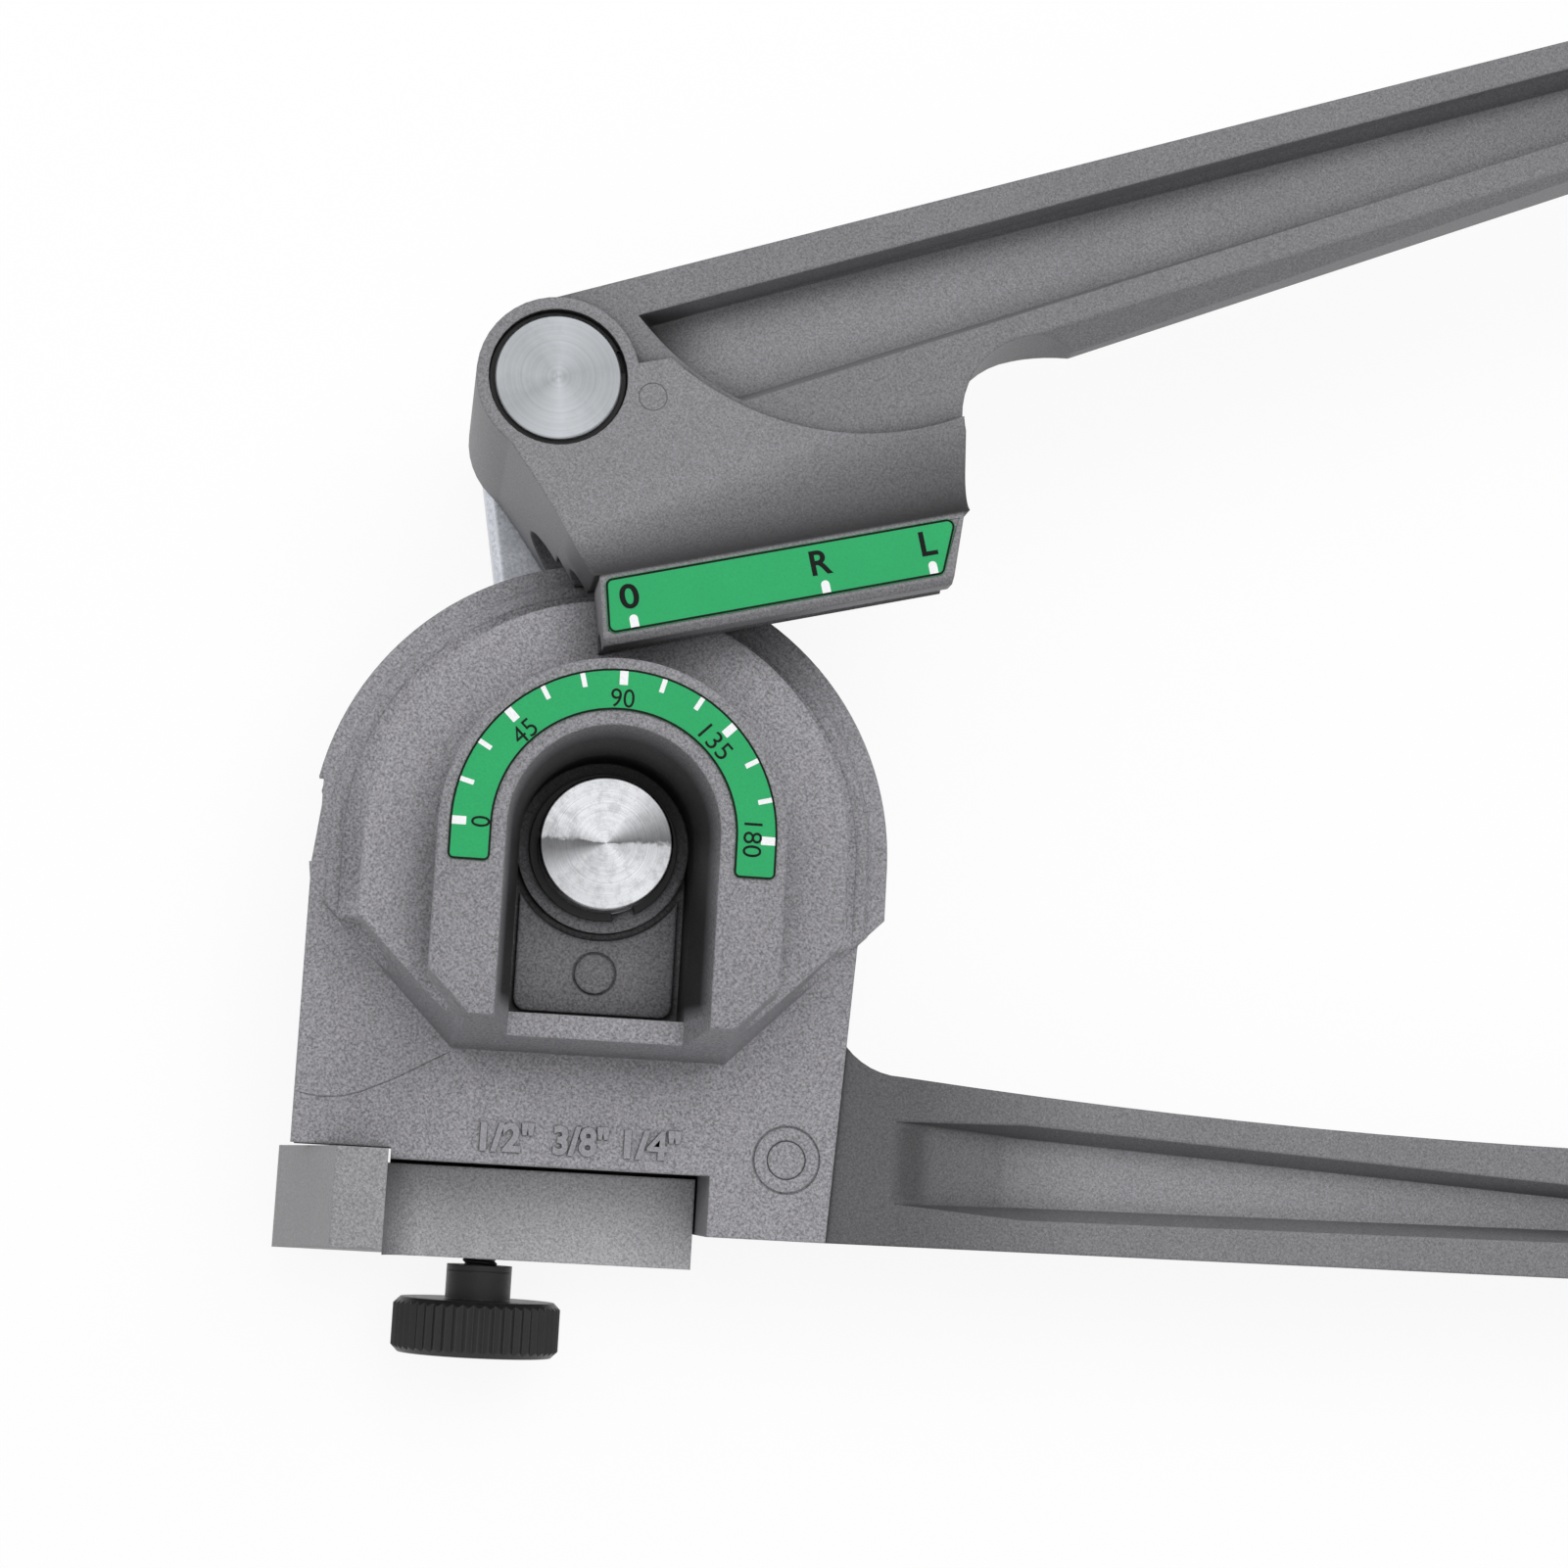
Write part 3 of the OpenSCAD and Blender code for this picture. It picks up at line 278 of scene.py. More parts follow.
def toned(tree, share, colour, level):
    return blended(tree, share, colour, blended(tree, 1.0, colour, grey(level), "MULTIPLY"))


def roundedEdge(tree, radius, samples=6):
    return addNode(tree, "Bevel", {"Radius": radius * mm}, samples=samples).outputs["Normal"]


def edgeMask(tree, rounded):
    flat = addNode(tree, "NewGeometry").outputs["Normal"]
    near = addNode(tree, "VectorMath", {0: rounded, 1: flat}, operation="DOT_PRODUCT")
    return spread(tree, near.outputs["Value"], 0.995, 0.8)  # cosines of 6 and 37 degrees


def archReach(tree, place):
    axes = axesOf(tree, place)  # how far out under the dial's arch
    above = worked(tree, "MAXIMUM", axes[1], 0.0)
    return lengthOf(tree, addNode(tree, "CombineXYZ", {0: axes[0], 1: above}).outputs[0])


def bandAt(tree, value, middle, half, fade):
    off = worked(tree, "ABSOLUTE", worked(tree, "SUBTRACT", value, middle * mm))
    return spread(tree, off, half * mm, (half + fade) * mm, 1.0, 0.0)


def paintedRailShading(tree, place, colour, rail):
    axes = axesOf(tree, place)  # painted shade on the rails, painted light on the floor between them
    flat = spread(tree, facingUp(tree), rail["steep"], rail["flat"])
    tone = grey(1.0)
    for height, level in ((rail["top"], rail["level"]), (rail["floor"], rail["floorTone"])):
        band = bandAt(tree, axes[2], height, rail["half"], rail["fade"])
        tone = blended(tree, product(tree, band, flat), tone, grey(level))
    if "root" in rail:
        # painted shade at the lower handle's root and at its channel's end
        root, dip = rail["root"], rail["dip"]
        share = spread(tree, axes[0], root["from"] * mm, root["to"] * mm)
        tone = blended(tree, share, grey(root["level"]), tone)
        share = product(tree, bandAt(tree, axes[0], dip["x"], dip["long"], dip["longFade"]),
                        bandAt(tree, axes[1], dip["y"], dip["tall"], dip["tallFade"]))
        tone = toned(tree, share, tone, dip["level"])
    return blended(tree, 1.0, colour, tone, "MULTIPLY")


def paintedTrackLight(tree, place, colour, track):
    axes = axesOf(tree, place)  # painted light on the lip of the middle groove, lifting the shade under the middle flange
    foot = track["foot"]
    share = product(
        tree, bandAt(tree, archReach(tree, place), track["reach"], track["wide"], track["wideFade"]),
        bandAt(tree, axes[2], track["z"], track["tall"], track["tallFade"]),
        spread(tree, axes[1], foot * mm, (foot + track["footFade"]) * mm))
    return toned(tree, share, colour, track["level"])


def paintedBarLight(tree, place, colour, bar):
    across = axesOf(tree, place)[0]  # painted light on the bar, paler than the hook's head
    return toned(tree, spread(tree, across, bar["from"] * mm, bar["to"] * mm), colour, bar["level"])


def paintedPocketShade(tree, place, colour, pocket):
    axes = axesOf(tree, place)  # painted shade on the steep walls round the pin, deeper below the rim
    reach, soft, foot = pocket["reach"], pocket["soft"], pocket["foot"]
    share = product(
        tree, spread(tree, archReach(tree, place), (reach + soft) * mm, (reach - soft) * mm),
        spread(tree, axes[2], pocket["rim"] * mm, (pocket["rim"] - pocket["fade"]) * mm),
        spread(tree, axes[1], foot * mm, (foot + pocket["footFade"]) * mm),
        spread(tree, facingUp(tree), pocket["flat"], pocket["steep"], pocket["flatShare"], 1.0))
    return toned(tree, share, colour, pocket["level"])


def paintedWebShade(tree, place, colour, web):
    middle = (pivot.x * mm, pivot.y * mm, 0)  # painted shade above the shoe label, deeper to the right
    level = addNode(tree, "VectorRotate", {"Vector": place, "Center": middle, "Angle": -shoeLift},
                    rotation_type="Z_AXIS").outputs[0]
    level = addNode(tree, "VectorMath", {0: level, 1: middle}, operation="SUBTRACT").outputs[0]
    axes = axesOf(tree, level)
    foot, soft = web["foot"], web["soft"]
    start = spread(tree, axes[0], 0, web["wide"] * mm, web["left"] * mm, web["right"] * mm)
    share = worked(tree, "DIVIDE", worked(tree, "SUBTRACT", start, axes[1]),
                   worked(tree, "SUBTRACT", start, foot * mm))
    share = product(
        tree, worked(tree, "POWER", spread(tree, share, 0.0, 1.0), web["curve"]),
        spread(tree, axes[1], (foot - soft) * mm, (foot + soft) * mm),
        spread(tree, axes[2], (webFace - web["deep"]) * mm, (webFace - web["shallow"]) * mm))
    return toned(tree, share, colour, web["level"])


def finishSkin(tree, shader, colour, grain, look, rounded=None):
    tree.links.new(colour, shader.inputs["Base Color"])
    tree.links.new(spread(tree, grain, *wideNoise, look["rough"] - look["smoother"],
                          look["rough"] + look["rougher"]), shader.inputs["Roughness"])
    bump = addNode(tree, "Bump", {"Height": grain, "Distance": look["bump"] * mm,
                                  "Strength": look["bumpShare"]})
    if rounded is not None:
        tree.links.new(rounded, bump.inputs["Normal"])
    tree.links.new(bump.outputs["Normal"], shader.inputs["Normal"])


def castSkin(name, look):
    material, tree, shader, place = startMaterial(name, look["metal"])
    grain = noiseAt(tree, place, look["grain"], 2.5, 0.7)
    fleck = noiseAt(tree, place, look["grain"] * look["fleckSize"], 1.0)
    cloud = noiseAt(tree, place, look["cloud"], 3.0)
    rounded = roundedEdge(tree, look["edge"])
    colour = blended(tree, spread(tree, grain, *look["grainSpan"]),
                     scaled(look["colour"], 1 - look["contrast"]),
                     scaled(look["colour"], 1 + look["contrast"]))
    colour = blended(tree, spread(tree, fleck, *look["fleckSpan"], 0, look["fleck"]), colour,
                     scaled(look["colour"], look["fleckTone"]))
    colour = toned(tree, spread(tree, cloud, *wideNoise, 0, look["cloudShare"]), colour,
                   look["cloudTone"])
    # paler edges: wear, plus a painted highlight along them
    wornEdgeSheen = product(tree, edgeMask(tree, rounded), spread(tree, fleck, *look["wearAndSheenSpan"]),
                     look["wearAndSheen"])
    colour = blended(tree, wornEdgeSheen, colour, scaled(look["colour"], look["wearAndSheenTone"]))
    # painted shade: darker in hollows, from ambient occlusion, with a deeper threshold inside the
    # pocket
    hollow = addNode(tree, "AmbientOcclusion", {"Distance": look["paintedShade"] * mm}, samples=4)
    paintedShadeTo = look["paintedShadeTo"]
    if "pocket" in look:
        reach, soft = look["pocket"]["reach"], look["pocket"]["soft"]
        paintedShadeTo = spread(tree, archReach(tree, place), (reach - soft) * mm, (reach + soft) * mm,
                        look["pocket"]["paintedShadeTo"], paintedShadeTo)
    paintedShade = spread(tree, hollow.outputs["AO"], look["paintedShadeFrom"], paintedShadeTo)
    paintedShade = worked(tree, "POWER", paintedShade, look["paintedShadeCurve"])
    paintedShade = spread(tree, paintedShade, 0.0, 1.0, look["paintedShadeLevel"], 1.0)
    paintedShade = addNode(tree, "CombineColor", {0: paintedShade, 1: paintedShade, 2: paintedShade}).outputs[0]
    colour = blended(tree, 1.0, colour, paintedShade, "MULTIPLY")
    for key, paint in (("pocket", paintedPocketShade), ("web", paintedWebShade), ("rail", paintedRailShading),
                       ("track", paintedTrackLight), ("bar", paintedBarLight)):
        if key in look:
            colour = paint(tree, place, colour, look[key])
    finishSkin(tree, shader, colour, grain, look, rounded)
    return material


def turnedSkin(name, look):
    material, tree, shader, place = startMaterial(name, 1.0)
    shader.inputs["Anisotropic"].default_value = look["sweep"]
    away = addNode(tree, "VectorMath", {0: place, 1: (look["x"] * mm, look["y"] * mm, 0)},
                   operation="SUBTRACT").outputs[0]
    axes = axesOf(tree, away)
    flatWay = addNode(tree, "CombineXYZ", {0: axes[0], 1: axes[1]}).outputs[0]
    along = addNode(tree, "CombineXYZ", {0: lengthOf(tree, flatWay), 2: axes[2]}).outputs[0]
    rings = noiseAt(tree, along, look["ring"], 3.0, 0.7)
    smear = noiseAt(tree, place, look["smearSize"], 4.0, 0.7)
    # painted reflection: lighter and darker sectors round the pin's axis
    turn = addNode(tree, "TexGradient", {0: flatWay}, gradient_type="RADIAL").outputs["Fac"]
    wobble = spread(tree, smear, *wideNoise, -look["wobble"], look["wobble"])
    paintedReflection = addNode(tree, "ValToRGB", {0: worked(tree, "ADD", turn, wobble)})
    ramp = paintedReflection.color_ramp
    for element, (at, level) in zip(ramp.elements, (look["paintedReflection"][0], look["paintedReflection"][-1])):
        element.position, element.color = at, grey(level)
    for at, level in look["paintedReflection"][1:-1]:
        ramp.elements.new(at).color = grey(level)
    colour = blended(tree, 1.0, look["colour"], paintedReflection.outputs[0], "MULTIPLY")
    colour = toned(tree, spread(tree, rings, *mainNoise, 0, look["ringShare"]), colour,
                   look["ringTone"])
    colour = toned(tree, spread(tree, smear, *look["smearSpan"], 0, look["smear"]), colour,
                   look["smearTone"])
    finishSkin(tree, shader, colour, rings, look, roundedEdge(tree, look["edge"], 4))
    tree.links.new(addNode(tree, "Tangent", direction_type="RADIAL", axis="Z").outputs[0],
                   shader.inputs["Tangent"])
    return material


def platedSkin(name, look):
    material, tree, shader, place = startMaterial(name, look["metal"])
    spangle = noiseAt(tree, place, look["spangle"], 3.0, 0.75)
    patch = noiseAt(tree, place, look["patch"], 2.0)
    rounded = roundedEdge(tree, look["edge"])
    colour = blended(tree, spread(tree, spangle, *wideNoise),
                     scaled(look["colour"], 1 - look["contrast"]),
                     scaled(look["colour"], 1 + look["contrast"]))
    colour = blended(tree, spread(tree, patch, *mainNoise, 0, look["patchShare"]), colour,
                     look["second"])
    # paler edges: wear, plus a painted highlight along them
    shine = product(tree, edgeMask(tree, rounded), look["wearAndSheen"])
    colour = blended(tree, shine, colour, look["wornEdgeSheen"])
    finishSkin(tree, shader, colour, spangle, look, rounded)
    return material


def printedSkin(name, look):
    material, tree, shader, place = startMaterial(name, 0.0, look["gloss"])
    speck = noiseAt(tree, place, look["speck"], 2.0, 0.7)
    fade = noiseAt(tree, place, look["fadeSize"], 2.0)
    colour = blended(tree, spread(tree, speck, *mainNoise),
                     scaled(look["colour"], 1 - look["speckTone"]),
                     scaled(look["colour"], 1 + look["speckTone"]))
    colour = blended(tree, spread(tree, fade, *mainNoise, 0, look["fadeShare"]), colour,
                     scaled(look["colour"], look["fadeTone"]))
    finishSkin(tree, shader, colour, speck, look)
    return material


# finishes of the castings
wheelLook = {"colour": (0.272, 0.267, 0.285), "metal": 0.2, "grain": 0.34, "grainSpan": (0.34, 0.66),
             "contrast": 0.5, "fleck": 0.4, "fleckSize": 0.55, "fleckSpan": (0.6, 0.72),
             "fleckTone": 2.1, "cloud": 22, "cloudShare": 0.5, "cloudTone": 0.82, "edge": 0.7,
             "wearAndSheen": 0.45, "wearAndSheenSpan": (0.35, 0.6), "wearAndSheenTone": 1.9, "rough": 0.55, "smoother": 0.08,
             "rougher": 0.1, "bump": 0.11, "bumpShare": 0.8, "paintedShade": 20, "paintedShadeFrom": 0.15,
             "paintedShadeTo": 0.33, "paintedShadeCurve": 2.2, "paintedShadeLevel": 0.06}
latchLook = dict(wheelLook, colour=(0.25, 0.248, 0.259), grain=0.32, contrast=0.36, bump=0.07,
                 edge=0.5, paintedShade=3, paintedShadeLevel=0.85)
handleLook = dict(wheelLook, colour=(0.2, 0.198, 0.209), grain=0.3, contrast=0.36, fleck=0.6,
                  bump=0.045, edge=0.8, wearAndSheen=0.6, paintedShade=7, paintedShadeTo=0.8, paintedShadeLevel=0.12)
raisedLook = dict(wheelLook, contrast=0.2, bump=0.03, edge=0.12, wearAndSheen=0.9, paintedShade=0.9, paintedShadeTo=0.95,
                  paintedShadeLevel=0.08)
railLook = {"half": 0.35, "fade": 0.3, "steep": 0.7, "flat": 0.95}
pocketLook = {"reach": 14.9, "soft": 0.3, "rim": labelFoot, "fade": 5.5, "foot": -22.5,
              "footFade": 2, "flat": 0.9, "steep": 0.5, "flatShare": 0.05, "level": 0.06,
              "paintedShadeTo": 0.52}
trackLook = {"reach": 32.1, "wide": 1.5, "wideFade": 0.2, "z": plateFace + 0.5, "tall": 0.45,
             "tallFade": 0.05, "foot": -11.5, "footFade": 1, "level": 2.1}
webLook = {"wide": 45, "left": -20, "right": -11, "foot": -27.2, "soft": 0.2, "deep": 12,
           "shallow": 9, "curve": 0.9, "level": 0.13}
rootLook = {"from": 44, "to": 68, "level": 0.46}
dipLook = {"x": 43.6, "long": 1.0, "longFade": 2.0, "y": -38.6, "tall": 4.4, "tallFade": 1.4,
           "level": 0.6}
wheelCasting = castSkin("sandCastWheel", dict(
    wheelLook, pocket=pocketLook, track=trackLook,
    rail=dict(railLook, top=labelFoot, floor=plateFace, level=0.82, floorTone=0.98)))
latchCasting = castSkin("sandCastLatch", dict(latchLook, bar={"from": -26, "to": -20, "level": 1.55}))
upperCasting = castSkin("sandCastUpperHandle", dict(
    handleLook, web=webLook,
    rail=dict(railLook, top=webFace - 1.4, floor=webFace - 7.4, level=0.84, floorTone=1.06)))
lowerCasting = castSkin("sandCastLowerHandle", dict(
    handleLook, rail=dict(railLook, top=labelFoot - 24, floor=labelFoot - 29, level=0.88,
                          floorTone=1.32, root=rootLook, dip=dipLook)))
raisedCasting = castSkin("sandCastNumbers", raisedLook)

# finishes of the pins, the link and the small steel pieces
centreLook = {"colour": (0.88, 0.89, 0.92, 1), "x": 0, "y": 0, "ring": 0.16, "ringShare": 0.35,
              "ringTone": 0.72, "smear": 0.6, "smearSize": 1.6, "smearSpan": (0.45, 0.65),
              "smearTone": 0.6, "sweep": 0.6, "wobble": 0.012, "edge": 0.25, "rough": 0.28,
              "smoother": 0.06, "rougher": 0.08, "bump": 0.012, "bumpShare": 0.6,
              "paintedReflection": [(0.0, 0.22), (0.03, 0.26), (0.1, 0.75), (0.36, 1.0), (0.5, 0.7), (0.515, 0.2),
                      (0.56, 0.4), (0.66, 1.0), (0.9, 1.0), (0.985, 0.7), (1.0, 0.22)]}
centreSteel = turnedSkin("turnedCentrePin", centreLook)
upperSteel = turnedSkin("turnedUpperPin", dict(
    centreLook, colour=(0.56, 0.585, 0.61, 1), x=pivot.x, y=pivot.y, ring=0.3, smear=0.12,
    sweep=0.5, rough=0.34,
    paintedReflection=[(0.0, 0.88), (0.1, 0.76), (0.27, 1.1), (0.42, 0.86), (0.55, 0.8), (0.74, 1.02),
         (0.88, 0.84), (1.0, 0.88)]))
zincLook = {"colour": (0.63, 0.655, 0.7), "second": (0.44, 0.465, 0.505, 1), "metal": 0.9,
            "spangle": 0.45, "patch": 3.0, "patchShare": 0.4, "contrast": 0.3, "edge": 0.9,
            "wearAndSheen": 1.0, "wornEdgeSheen": (0.85, 0.88, 0.92, 1), "rough": 0.36, "smoother": 0.07,
            "rougher": 0.1, "bump": 0.02, "bumpShare": 0.7}
blackLook = dict(zincLook, colour=(0.012, 0.012, 0.0125), second=(0.016, 0.016, 0.017, 1),
                 wornEdgeSheen=(0.09, 0.09, 0.095, 1), metal=0.35, spangle=0.5, patch=4.0, contrast=0.35,
                 edge=0.25, wearAndSheen=0.35, rough=0.4, bump=0.015)
bronzeLook = dict(zincLook, colour=(0.42, 0.27, 0.12), second=(0.3, 0.19, 0.09, 1),
                  wornEdgeSheen=(0.6, 0.42, 0.22, 1), edge=0.15, wearAndSheen=0.6)
brassLook = dict(zincLook, colour=(0.55, 0.4, 0.17), second=(0.48, 0.34, 0.14, 1),
                 wornEdgeSheen=(0.75, 0.58, 0.3, 1), edge=0.2, wearAndSheen=0.6, rough=0.28)
zincPlate = platedSkin("zincPlatedLink", zincLook)
blackOxide = platedSkin("blackOxideKnob", blackLook)
bronze = platedSkin("sinteredBronze", bronzeLook)
brass = platedSkin("turnedBrass", brassLook)

# print and foil
foilLook = {"colour": (0.026, 0.345, 0.12), "speck": 0.3, "speckTone": 0.07, "fadeSize": 9.0,
            "fadeShare": 0.5, "fadeTone": 0.92, "rough": 0.48, "smoother": 0.05, "rougher": 0.07,
            "gloss": 0.22, "bump": 0.01, "bumpShare": 0.5}
greenFoil = printedSkin("greenFoil", foilLook)
blackInk = printedSkin("blackInk", dict(foilLook, colour=(0.012, 0.014, 0.013), speck=0.2,
                                        rough=0.5, gloss=0.04, bump=0.006))
whiteInk = printedSkin("whiteInk", dict(foilLook, colour=(0.82, 0.83, 0.84), speck=0.25,
                                        rough=0.5, gloss=0.2, bump=0.006))
print("finishes made")

nodeFinish = {
    "forming_wheel": wheelCasting, "handle_dowel": wheelCasting, "dial_label": greenFoil,
    "lower_handle": lowerCasting, "upper_handle": upperCasting, "latch_block": latchCasting,
    "thread_insert": brass, "link_plate": zincPlate, "centre_pin": centreSteel,
    "upper_pin": upperSteel, "centre_ring": blackOxide, "upper_ring": blackOxide,
    "centre_thrust_washer": bronze, "upper_thrust_washer": bronze, "shoe_label": greenFoil,
    "lower_grip": blackOxide, "upper_grip": blackOxide, "screw_washer": blackOxide,
    "thumb_knob": blackOxide, "knob_stud": blackOxide,
}
for node, finish in nodeFinish.items():
    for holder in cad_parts[node].material_slots:
        holder.material = finish
print("nodes dressed")


# dial label: green foil with an outline, ticks every 15 degrees and five numbers
dial = {
    "inner": 15.2, "outer": 20.4, "tail": 4.8, "corner": 0.75, "line": 0.26, "inkUp": 0.02,
    "inkSunk": 0.05, "tickOuter": 20.22, "tickLong": 1.85, "tickWide": 0.62, "mainWide": 1.05,
    "tickCorner": 0.08, "tickStep": 15, "mainStep": 45, "numberTall": 2.35, "weight": -0.001,
    "numbers": [("0", 180, 16.6, 1.35), ("45", 136, 16.65, 3.0), ("90", 90, 16.7, 2.95),
                ("135", 45, 16.95, 4.4), ("180", 0, 17.3, 4.3)],  # direction, reach, width
}


def archLoop(inset, steps=48, cornerSteps=5):
    outer, inner = dial["outer"] - inset, dial["inner"] + inset
    tail, corner = dial["tail"] - inset, dial["corner"] - inset
    loop = []

    def addArch(radius, way):
        for i in range(steps + 1):
            a = math.pi * i / steps
            loop.append((way * radius * math.cos(a), radius * math.sin(a)))

    def addCorner(x, first):
        for k in range(cornerSteps + 1):
            a = math.radians(first + 90 * k / cornerSteps)
            loop.append((x + corner * math.cos(a), -tail + corner + corner * math.sin(a)))

    addArch(outer, 1)
    addCorner(-outer + corner, 180)
    addCorner(-inner - corner, 270)
    addArch(inner, -1)
    addCorner(inner + corner, 180)
    addCorner(outer - corner, 270)
    return loop


inkFoot, inkTop = labelTop - dial["inkSunk"], labelTop + dial["inkUp"]
stripPiece("dialOutline", archLoop(0), archLoop(dial["line"]), inkFoot, inkTop, onFrame,
           "frame", blackInk)
far, near = dial["tickOuter"], dial["tickOuter"] - dial["tickLong"]
for angle in range(0, 181, dial["tickStep"]):
    wide = dial["tickWide"] if angle % dial["mainStep"] else dial["mainWide"]
    tick = roundedLoop([(near, -wide / 2), (far, -wide / 2), (far, wide / 2), (near, wide / 2)],
                       dial["tickCorner"], 3)
    spin = Matrix.Rotation(math.radians(180 - angle), 4, "Z")
    slabPiece("dialTick%d" % angle, tick, inkFoot, inkTop, spin, "frame", whiteInk)
for words, direction, reach, wide in dial["numbers"]:
    a = math.radians(direction)
    wordPiece("dialNumber" + words, words, {
        "x": reach * math.cos(a), "y": reach * math.sin(a), "turn": direction - 90,
        "width": wide, "height": dial["numberTall"], "foot": inkFoot, "top": inkTop,
        "weight": dial["weight"],
    }, onFrame, "frame", blackInk)
print("dial label printed")

# shoe label: rounded green foil with 0, R and L
shoe = {
    "corners": [(-0.62, -34.62), (43.05, -34.62), (46.25, -27.6), (0.32, -27.6)], "corner": 1.0,
    "line": 0.34, "lip": 0.06, "inkUp": 0.02, "inkSunk": 0.03, "letterTall": 3.2,
    "letterY": -30.3, "tickY": -33.55, "halfTall": 0.875, "halfWide": 0.55, "tickSteps": 10,
    "weight": 0.02, "letters": [("0", 2.9, 2.45), ("R", 27.7, 2.7), ("L", 41.8, 2.1)],
}
shoeFoot, shoeTop = (corner.z for corner in cornersOf("shoe_label"))
shoeLoop = roundedLoop(shoe["corners"], shoe["corner"])
shoeLine = roundedLoop(shiftedIn(shoe["corners"], shoe["line"]), shoe["corner"] - shoe["line"])
shoeLipLoop = roundedLoop(shiftedIn(shoe["corners"], shoe["lip"]), shoe["corner"] - shoe["lip"])
shoeFoil = slabPiece("shoeFoil", shoeLoop, shoeFoot, shoeTop, onLever, "lever",
                     greenFoil, shoe["lip"], shoeLipLoop)
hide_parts("shoe_label")
inkFoot, inkTop = shoeTop - shoe["inkSunk"], shoeTop + shoe["inkUp"]
stripPiece("shoeOutline", shoeLipLoop, shoeLine, inkFoot, inkTop, onLever, "lever",
           blackInk)
arc = [math.pi * k / shoe["tickSteps"] for k in range(shoe["tickSteps"] + 1)]
low, high = shoe["tickY"] - shoe["halfTall"], shoe["tickY"] + shoe["halfTall"]
r = shoe["halfWide"]
for words, x, wide in shoe["letters"]:
    wordPiece("shoeLetter" + words, words, {
        "x": x, "y": shoe["letterY"], "width": wide, "height": shoe["letterTall"],
        "foot": inkFoot, "top": inkTop, "weight": shoe["weight"],
    }, onLever, "lever", blackInk)
    tick = [(x - r, low), (x + r, low)] + [(x + r * math.cos(a), high - r + r * math.sin(a))
                                           for a in arc]
    slabPiece("shoeTick" + words, tick, inkFoot, inkTop, onLever, "lever", whiteInk)
print("shoe label printed")

# raised tube sizes and small casting marks
sizes = {"tall": 3.95, "y": -38.15, "rise": 0.45, "sunk": 0.3, "softEdge": 0.035, "weight": 0.004,
         "smoothness": 4, "words": [('1/2"', -9.95, 6.9), ('3/8"', -0.35, 7.2), ('1/4"', 9.0, 7.4)]}
for i, (words, x, wide) in enumerate(sizes["words"]):
    wordPiece("raisedSize%d" % (i + 1), words, {
        "x": x, "y": sizes["y"], "width": wide, "height": sizes["tall"],
        "weight": sizes["weight"], "foot": plateFace - sizes["sunk"],
        "top": plateFace + sizes["rise"], "softEdge": sizes["softEdge"],
        "smoothness": sizes["smoothness"],
    }, onFrame, "frame", raisedCasting)

seam = {"wire": 0.09, "path": [(-37.5, -33.75), (-35.8, -34.1), (-34.1, -34.3), (-31.3, -34.05),
                               (-28.9, -33.3), (-24.6, -31.3), (-21.6, -29.6), (-17.9, -27.5)]}
wirePiece("partingSeam", [(x, y, plateFace) for x, y in seam["path"]], seam["wire"], onFrame,
          "frame", wheelCasting)
dowelSeam = {"x": 26.7, "y": -39.1, "r": 2.5, "wire": 0.08, "colour": (0.05, 0.05, 0.052)}
seamGrime = castSkin("greasySeam", dict(raisedLook, colour=dowelSeam["colour"]))
wirePiece("dowelSeam", ringPath(dowelSeam, plateFace), dowelSeam["wire"], onFrame,
          "frame", seamGrime, closed=True)
webMark = {"x": 1.75, "y": 56.7, "r": 1.8, "wire": 0.06}
wirePiece("webRingMark", ringPath(webMark, webFace), webMark["wire"], onFrame,
          "lever", upperCasting, closed=True)
print("casting marks set")

# thread of the thumb screw, cut along its own axis
thread = {"pitch": 0.8, "deep": 0.42, "steps": 8, "around": 36, "lead": 0.8}


def makeThread(name, node, body):
    low, high = cornersOf(node)
    middle, long, radius = middleOf(node), high.y - low.y, (high.x - low.x) / 2
    count, around = round(long / thread["pitch"] * thread["steps"]), thread["around"]
    verts = []
    for i in range(count + 1):
        y = long * i / count
        ease = 1 - min(min(y, long - y) / thread["lead"], 1)
        for k in range(around):
            wave = abs((y / thread["pitch"] - k / around) % 1 - 0.5) * 2
            r = radius - thread["deep"] * max(wave, ease)
            a = 2 * math.pi * k / around
            verts.append((middle.x + r * math.cos(a), low.y + y, middle.z + r * math.sin(a)))
    faces = wallFaces(count + 1, around) + endFaces(count + 1, around)
    piece = newPiece(name, verts, faces, onFrame, body, blackOxide, smooth=True)
    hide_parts(node)


makeThread("studThread", "knob_stud", "screw")
print("thread cut")

# black sleeves with a lip at each end and shallow ribs
sleeve = {"long": 100.0, "tall": 25.0, "thick": 20.0, "oval": 2.7, "boreTall": 15.06,
          "boreThick": 10.06, "boreOval": 14, "stations": 168, "around": 72, "lipLong": 5.0,
          "waist": 0.9, "belly": 0.065, "bellyFrom": 0.08, "bellyLong": 0.84, "endLong": 1.6,
          "endDeep": 0.075, "ribFrom": 16.0, "ribTo": 86.0, "ribPitch": 5.0, "ribDeep": 0.45,
          "upperTurn": shoeLift + math.radians(7.0)}
rubberLook = dict(zincLook, colour=(0.018, 0.018, 0.019), second=(0.025, 0.025, 0.026, 1),
                  wornEdgeSheen=(0.05, 0.05, 0.052, 1), metal=0.0, spangle=0.35, patch=6.0,
                  contrast=0.25, edge=0.4, wearAndSheen=0.3, rough=0.58, bump=0.03)
sleeveRubber = platedSkin("dippedRubber", rubberLook)


def clamped(t):
    return min(max(t, 0), 1)


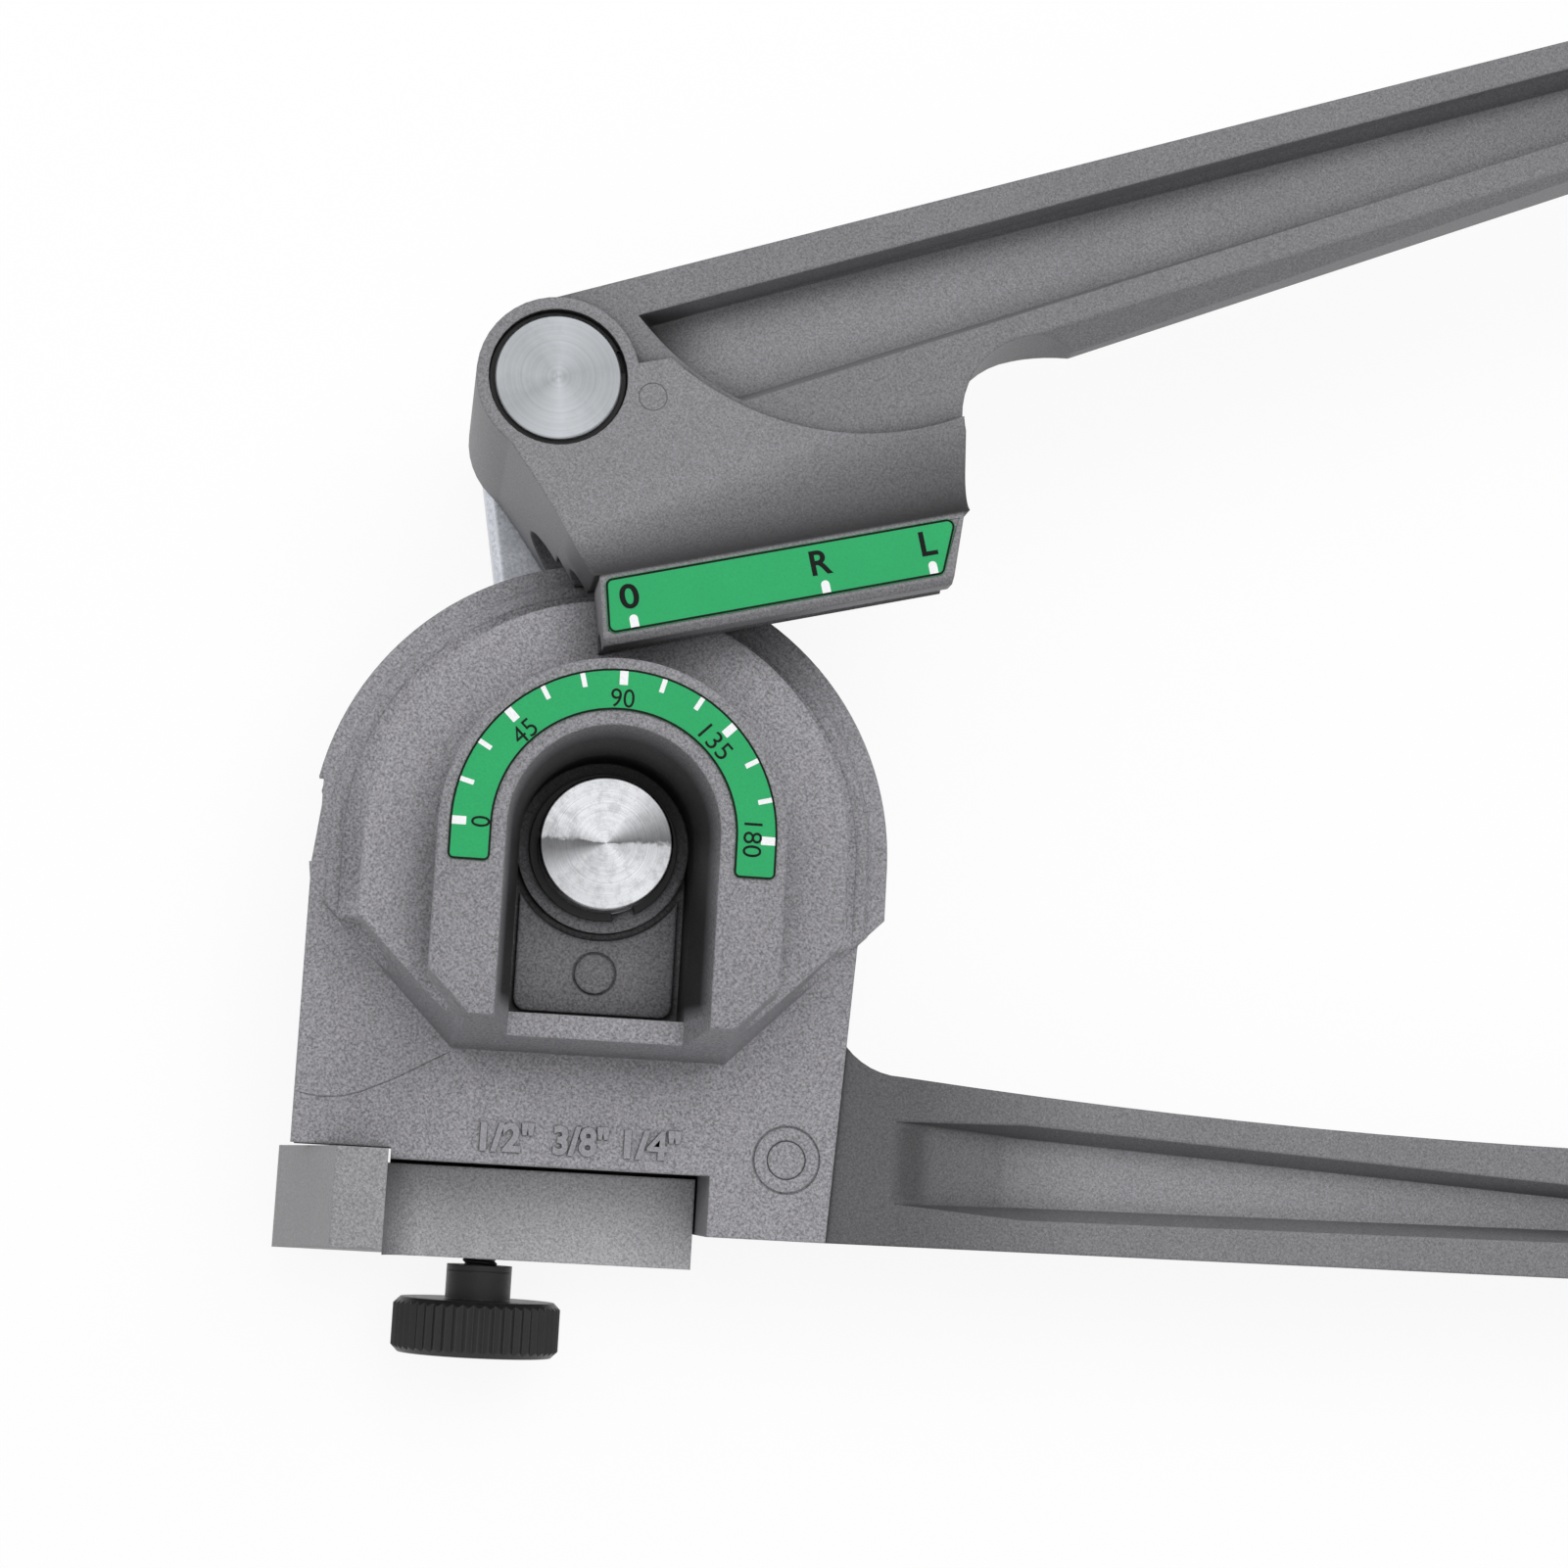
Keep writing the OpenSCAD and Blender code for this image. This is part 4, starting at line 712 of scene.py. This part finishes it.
def sleeveShare(x):
    t = clamped((x / sleeve["long"] - sleeve["bellyFrom"]) / sleeve["bellyLong"])
    share = sleeve["waist"] + sleeve["belly"] * math.sin(math.pi * t) ** 2
    ends = (x, sleeve["long"] - x)
    for end in ends:
        t = clamped((end - sleeve["lipLong"]) / sleeve["lipLong"])
        share += (1.0 - share) * (0.5 + 0.5 * math.cos(math.pi * t))
    for end in ends:
        t = clamped(1 - end / sleeve["endLong"])
        share -= sleeve["endDeep"] * (1 - math.sqrt(1 - t ** 2))
    return share


def sleeveRib(x):
    if not sleeve["ribFrom"] < x < sleeve["ribTo"]:
        return 0.0
    wave = 0.5 + 0.5 * math.cos(2 * math.pi * (x - sleeve["ribFrom"]) / sleeve["ribPitch"])
    return sleeve["ribDeep"] * wave ** 4


def ovalAt(x, tall, thick, power):
    ring = []
    for k in range(sleeve["around"]):
        a = 2 * math.pi * k / sleeve["around"]
        c, s = math.cos(a), math.sin(a)
        ring.append((x, tall / 2 * math.copysign(abs(c) ** (2 / power), c),
                     thick / 2 * math.copysign(abs(s) ** (2 / power), s)))
    return ring


def makeSleeve(name, node, place, body):
    rings = []
    for i in range(sleeve["stations"] + 1):
        x = sleeve["long"] * i / sleeve["stations"]
        share, cut = sleeveShare(x), 2 * sleeveRib(x)
        rings.append(ovalAt(x, sleeve["tall"] * share - cut, sleeve["thick"] * share - cut,
                            sleeve["oval"]))
    for x in (sleeve["long"], 0.0):
        rings.append(ovalAt(x, sleeve["boreTall"], sleeve["boreThick"], sleeve["boreOval"]))
    verts = [p for ring in rings for p in ring]
    faces = wallFaces(len(rings), sleeve["around"], joined=True)
    piece = newPiece(name, verts, faces, place, body, sleeveRubber, smooth=True)
    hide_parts(node)


lowerMiddle, upperMiddle = middleOf("lower_grip"), middleOf("upper_grip")
makeSleeve("lowerSleeve", "lower_grip",
           Matrix.Translation((cornersOf("lower_grip")[0].x, lowerMiddle.y, lowerMiddle.z)),
           "frame")
makeSleeve("upperSleeve", "upper_grip",
           Matrix.Translation(upperMiddle) @ Matrix.Rotation(sleeve["upperTurn"], 4, "Z")
           @ Matrix.Translation((-sleeve["long"] / 2, 0, 0)), "lever")
print("sleeves fitted")

# floor, light and camera
room = {"floor": 16.0, "paper": 0.88, "glow": 0.9, "soft": 0.22, "aim": (0.06, 0.03, 0.02),
        "keyWatt": 9.5, "keySize": 0.9, "keyAt": (0.3, 0.4, 1.1),
        "fillWatt": 4.0, "fillSize": 0.9, "fillAt": (-0.65, 0.45, 0.85),
        "frontWatt": 3.0, "frontSize": 0.9, "frontAt": (0.05, -0.45, 1.15)}


def whiteForEye(tree):
    rays = addNode(tree, "LightPath").outputs
    seen = worked(tree, "MAXIMUM", rays["Is Camera Ray"], rays["Is Glossy Ray"])
    return worked(tree, "MAXIMUM", seen, rays["Is Transmission Ray"])


side = room["floor"] / 2
floorMesh = bpy.data.meshes.new("paleFloor")
floorMesh.from_pydata([(-side, -side, 0), (side, -side, 0), (side, side, 0), (-side, side, 0)], [],
                      [(0, 1, 2, 3)])
floor = bpy.data.objects.new("paleFloor", floorMesh)
bpy.context.scene.collection.objects.link(floor)
paper = bpy.data.materials.new("palePaper")
paper.use_nodes = True
tree = paper.node_tree
tree.nodes.clear()
matt = addNode(tree, "BsdfDiffuse", {"Color": grey(room["paper"])})
glow = addNode(tree, "Emission", {"Color": grey(1), "Strength": 1.0})
share = product(tree, whiteForEye(tree), room["glow"])
mixed = addNode(tree, "MixShader", {0: share, 1: matt.outputs[0], 2: glow.outputs[0]})
tree.links.new(mixed.outputs[0], addNode(tree, "OutputMaterial").inputs["Surface"])
floorMesh.materials.append(paper)

world = bpy.data.worlds.new("softRoom")
bpy.context.scene.world = world
world.use_nodes = True
tree = world.node_tree
tree.nodes.clear()
dim = addNode(tree, "Background", {"Color": grey(1), "Strength": room["soft"]})
white = addNode(tree, "Background", {"Color": grey(1), "Strength": 1.0})
mixed = addNode(tree, "MixShader", {0: whiteForEye(tree), 1: dim.outputs[0], 2: white.outputs[0]})
tree.links.new(mixed.outputs[0], addNode(tree, "OutputWorld").inputs["Surface"])

for name in ("key", "fill", "front"):
    lamp = bpy.data.lights.new(name + "Lamp", "AREA")
    lamp.energy = room[name + "Watt"]
    lamp.size = room[name + "Size"]
    lampHolder = bpy.data.objects.new(name + "Lamp", lamp)
    lampHolder.location = room[name + "At"]
    lampHolder.visible_glossy = False  # bare metal mirrors the even room, not the lamps
    toPart = Vector(room["aim"]) - lampHolder.location
    lampHolder.rotation_euler = toPart.to_track_quat("-Z", "Y").to_euler()
    bpy.context.scene.collection.objects.link(lampHolder)

viewer = {"turn": Vector((-0.13092, 0.12415, -0.06300)), "at": (-25.0, -44.18, 432.64),
          "focal": 70.4, "sensor": 36, "near": 0.01, "far": 20}
camera = bpy.data.cameras.new("viewCamera")
camera.sensor_width = viewer["sensor"]
camera.lens = viewer["focal"]
camera.clip_start, camera.clip_end = viewer["near"], viewer["far"]
cameraHolder = bpy.data.objects.new("viewCamera", camera)
lookTurn = Matrix.Rotation(viewer["turn"].length, 4, viewer["turn"].normalized()).transposed()
cameraHolder.matrix_world = Matrix.Translation(Vector(viewer["at"]) * mm) @ lookTurn
bpy.context.scene.collection.objects.link(cameraHolder)
bpy.context.scene.camera = cameraHolder
bpy.context.scene.view_settings.view_transform = "Standard"
print("stage set")

bpy.context.view_layer.update()
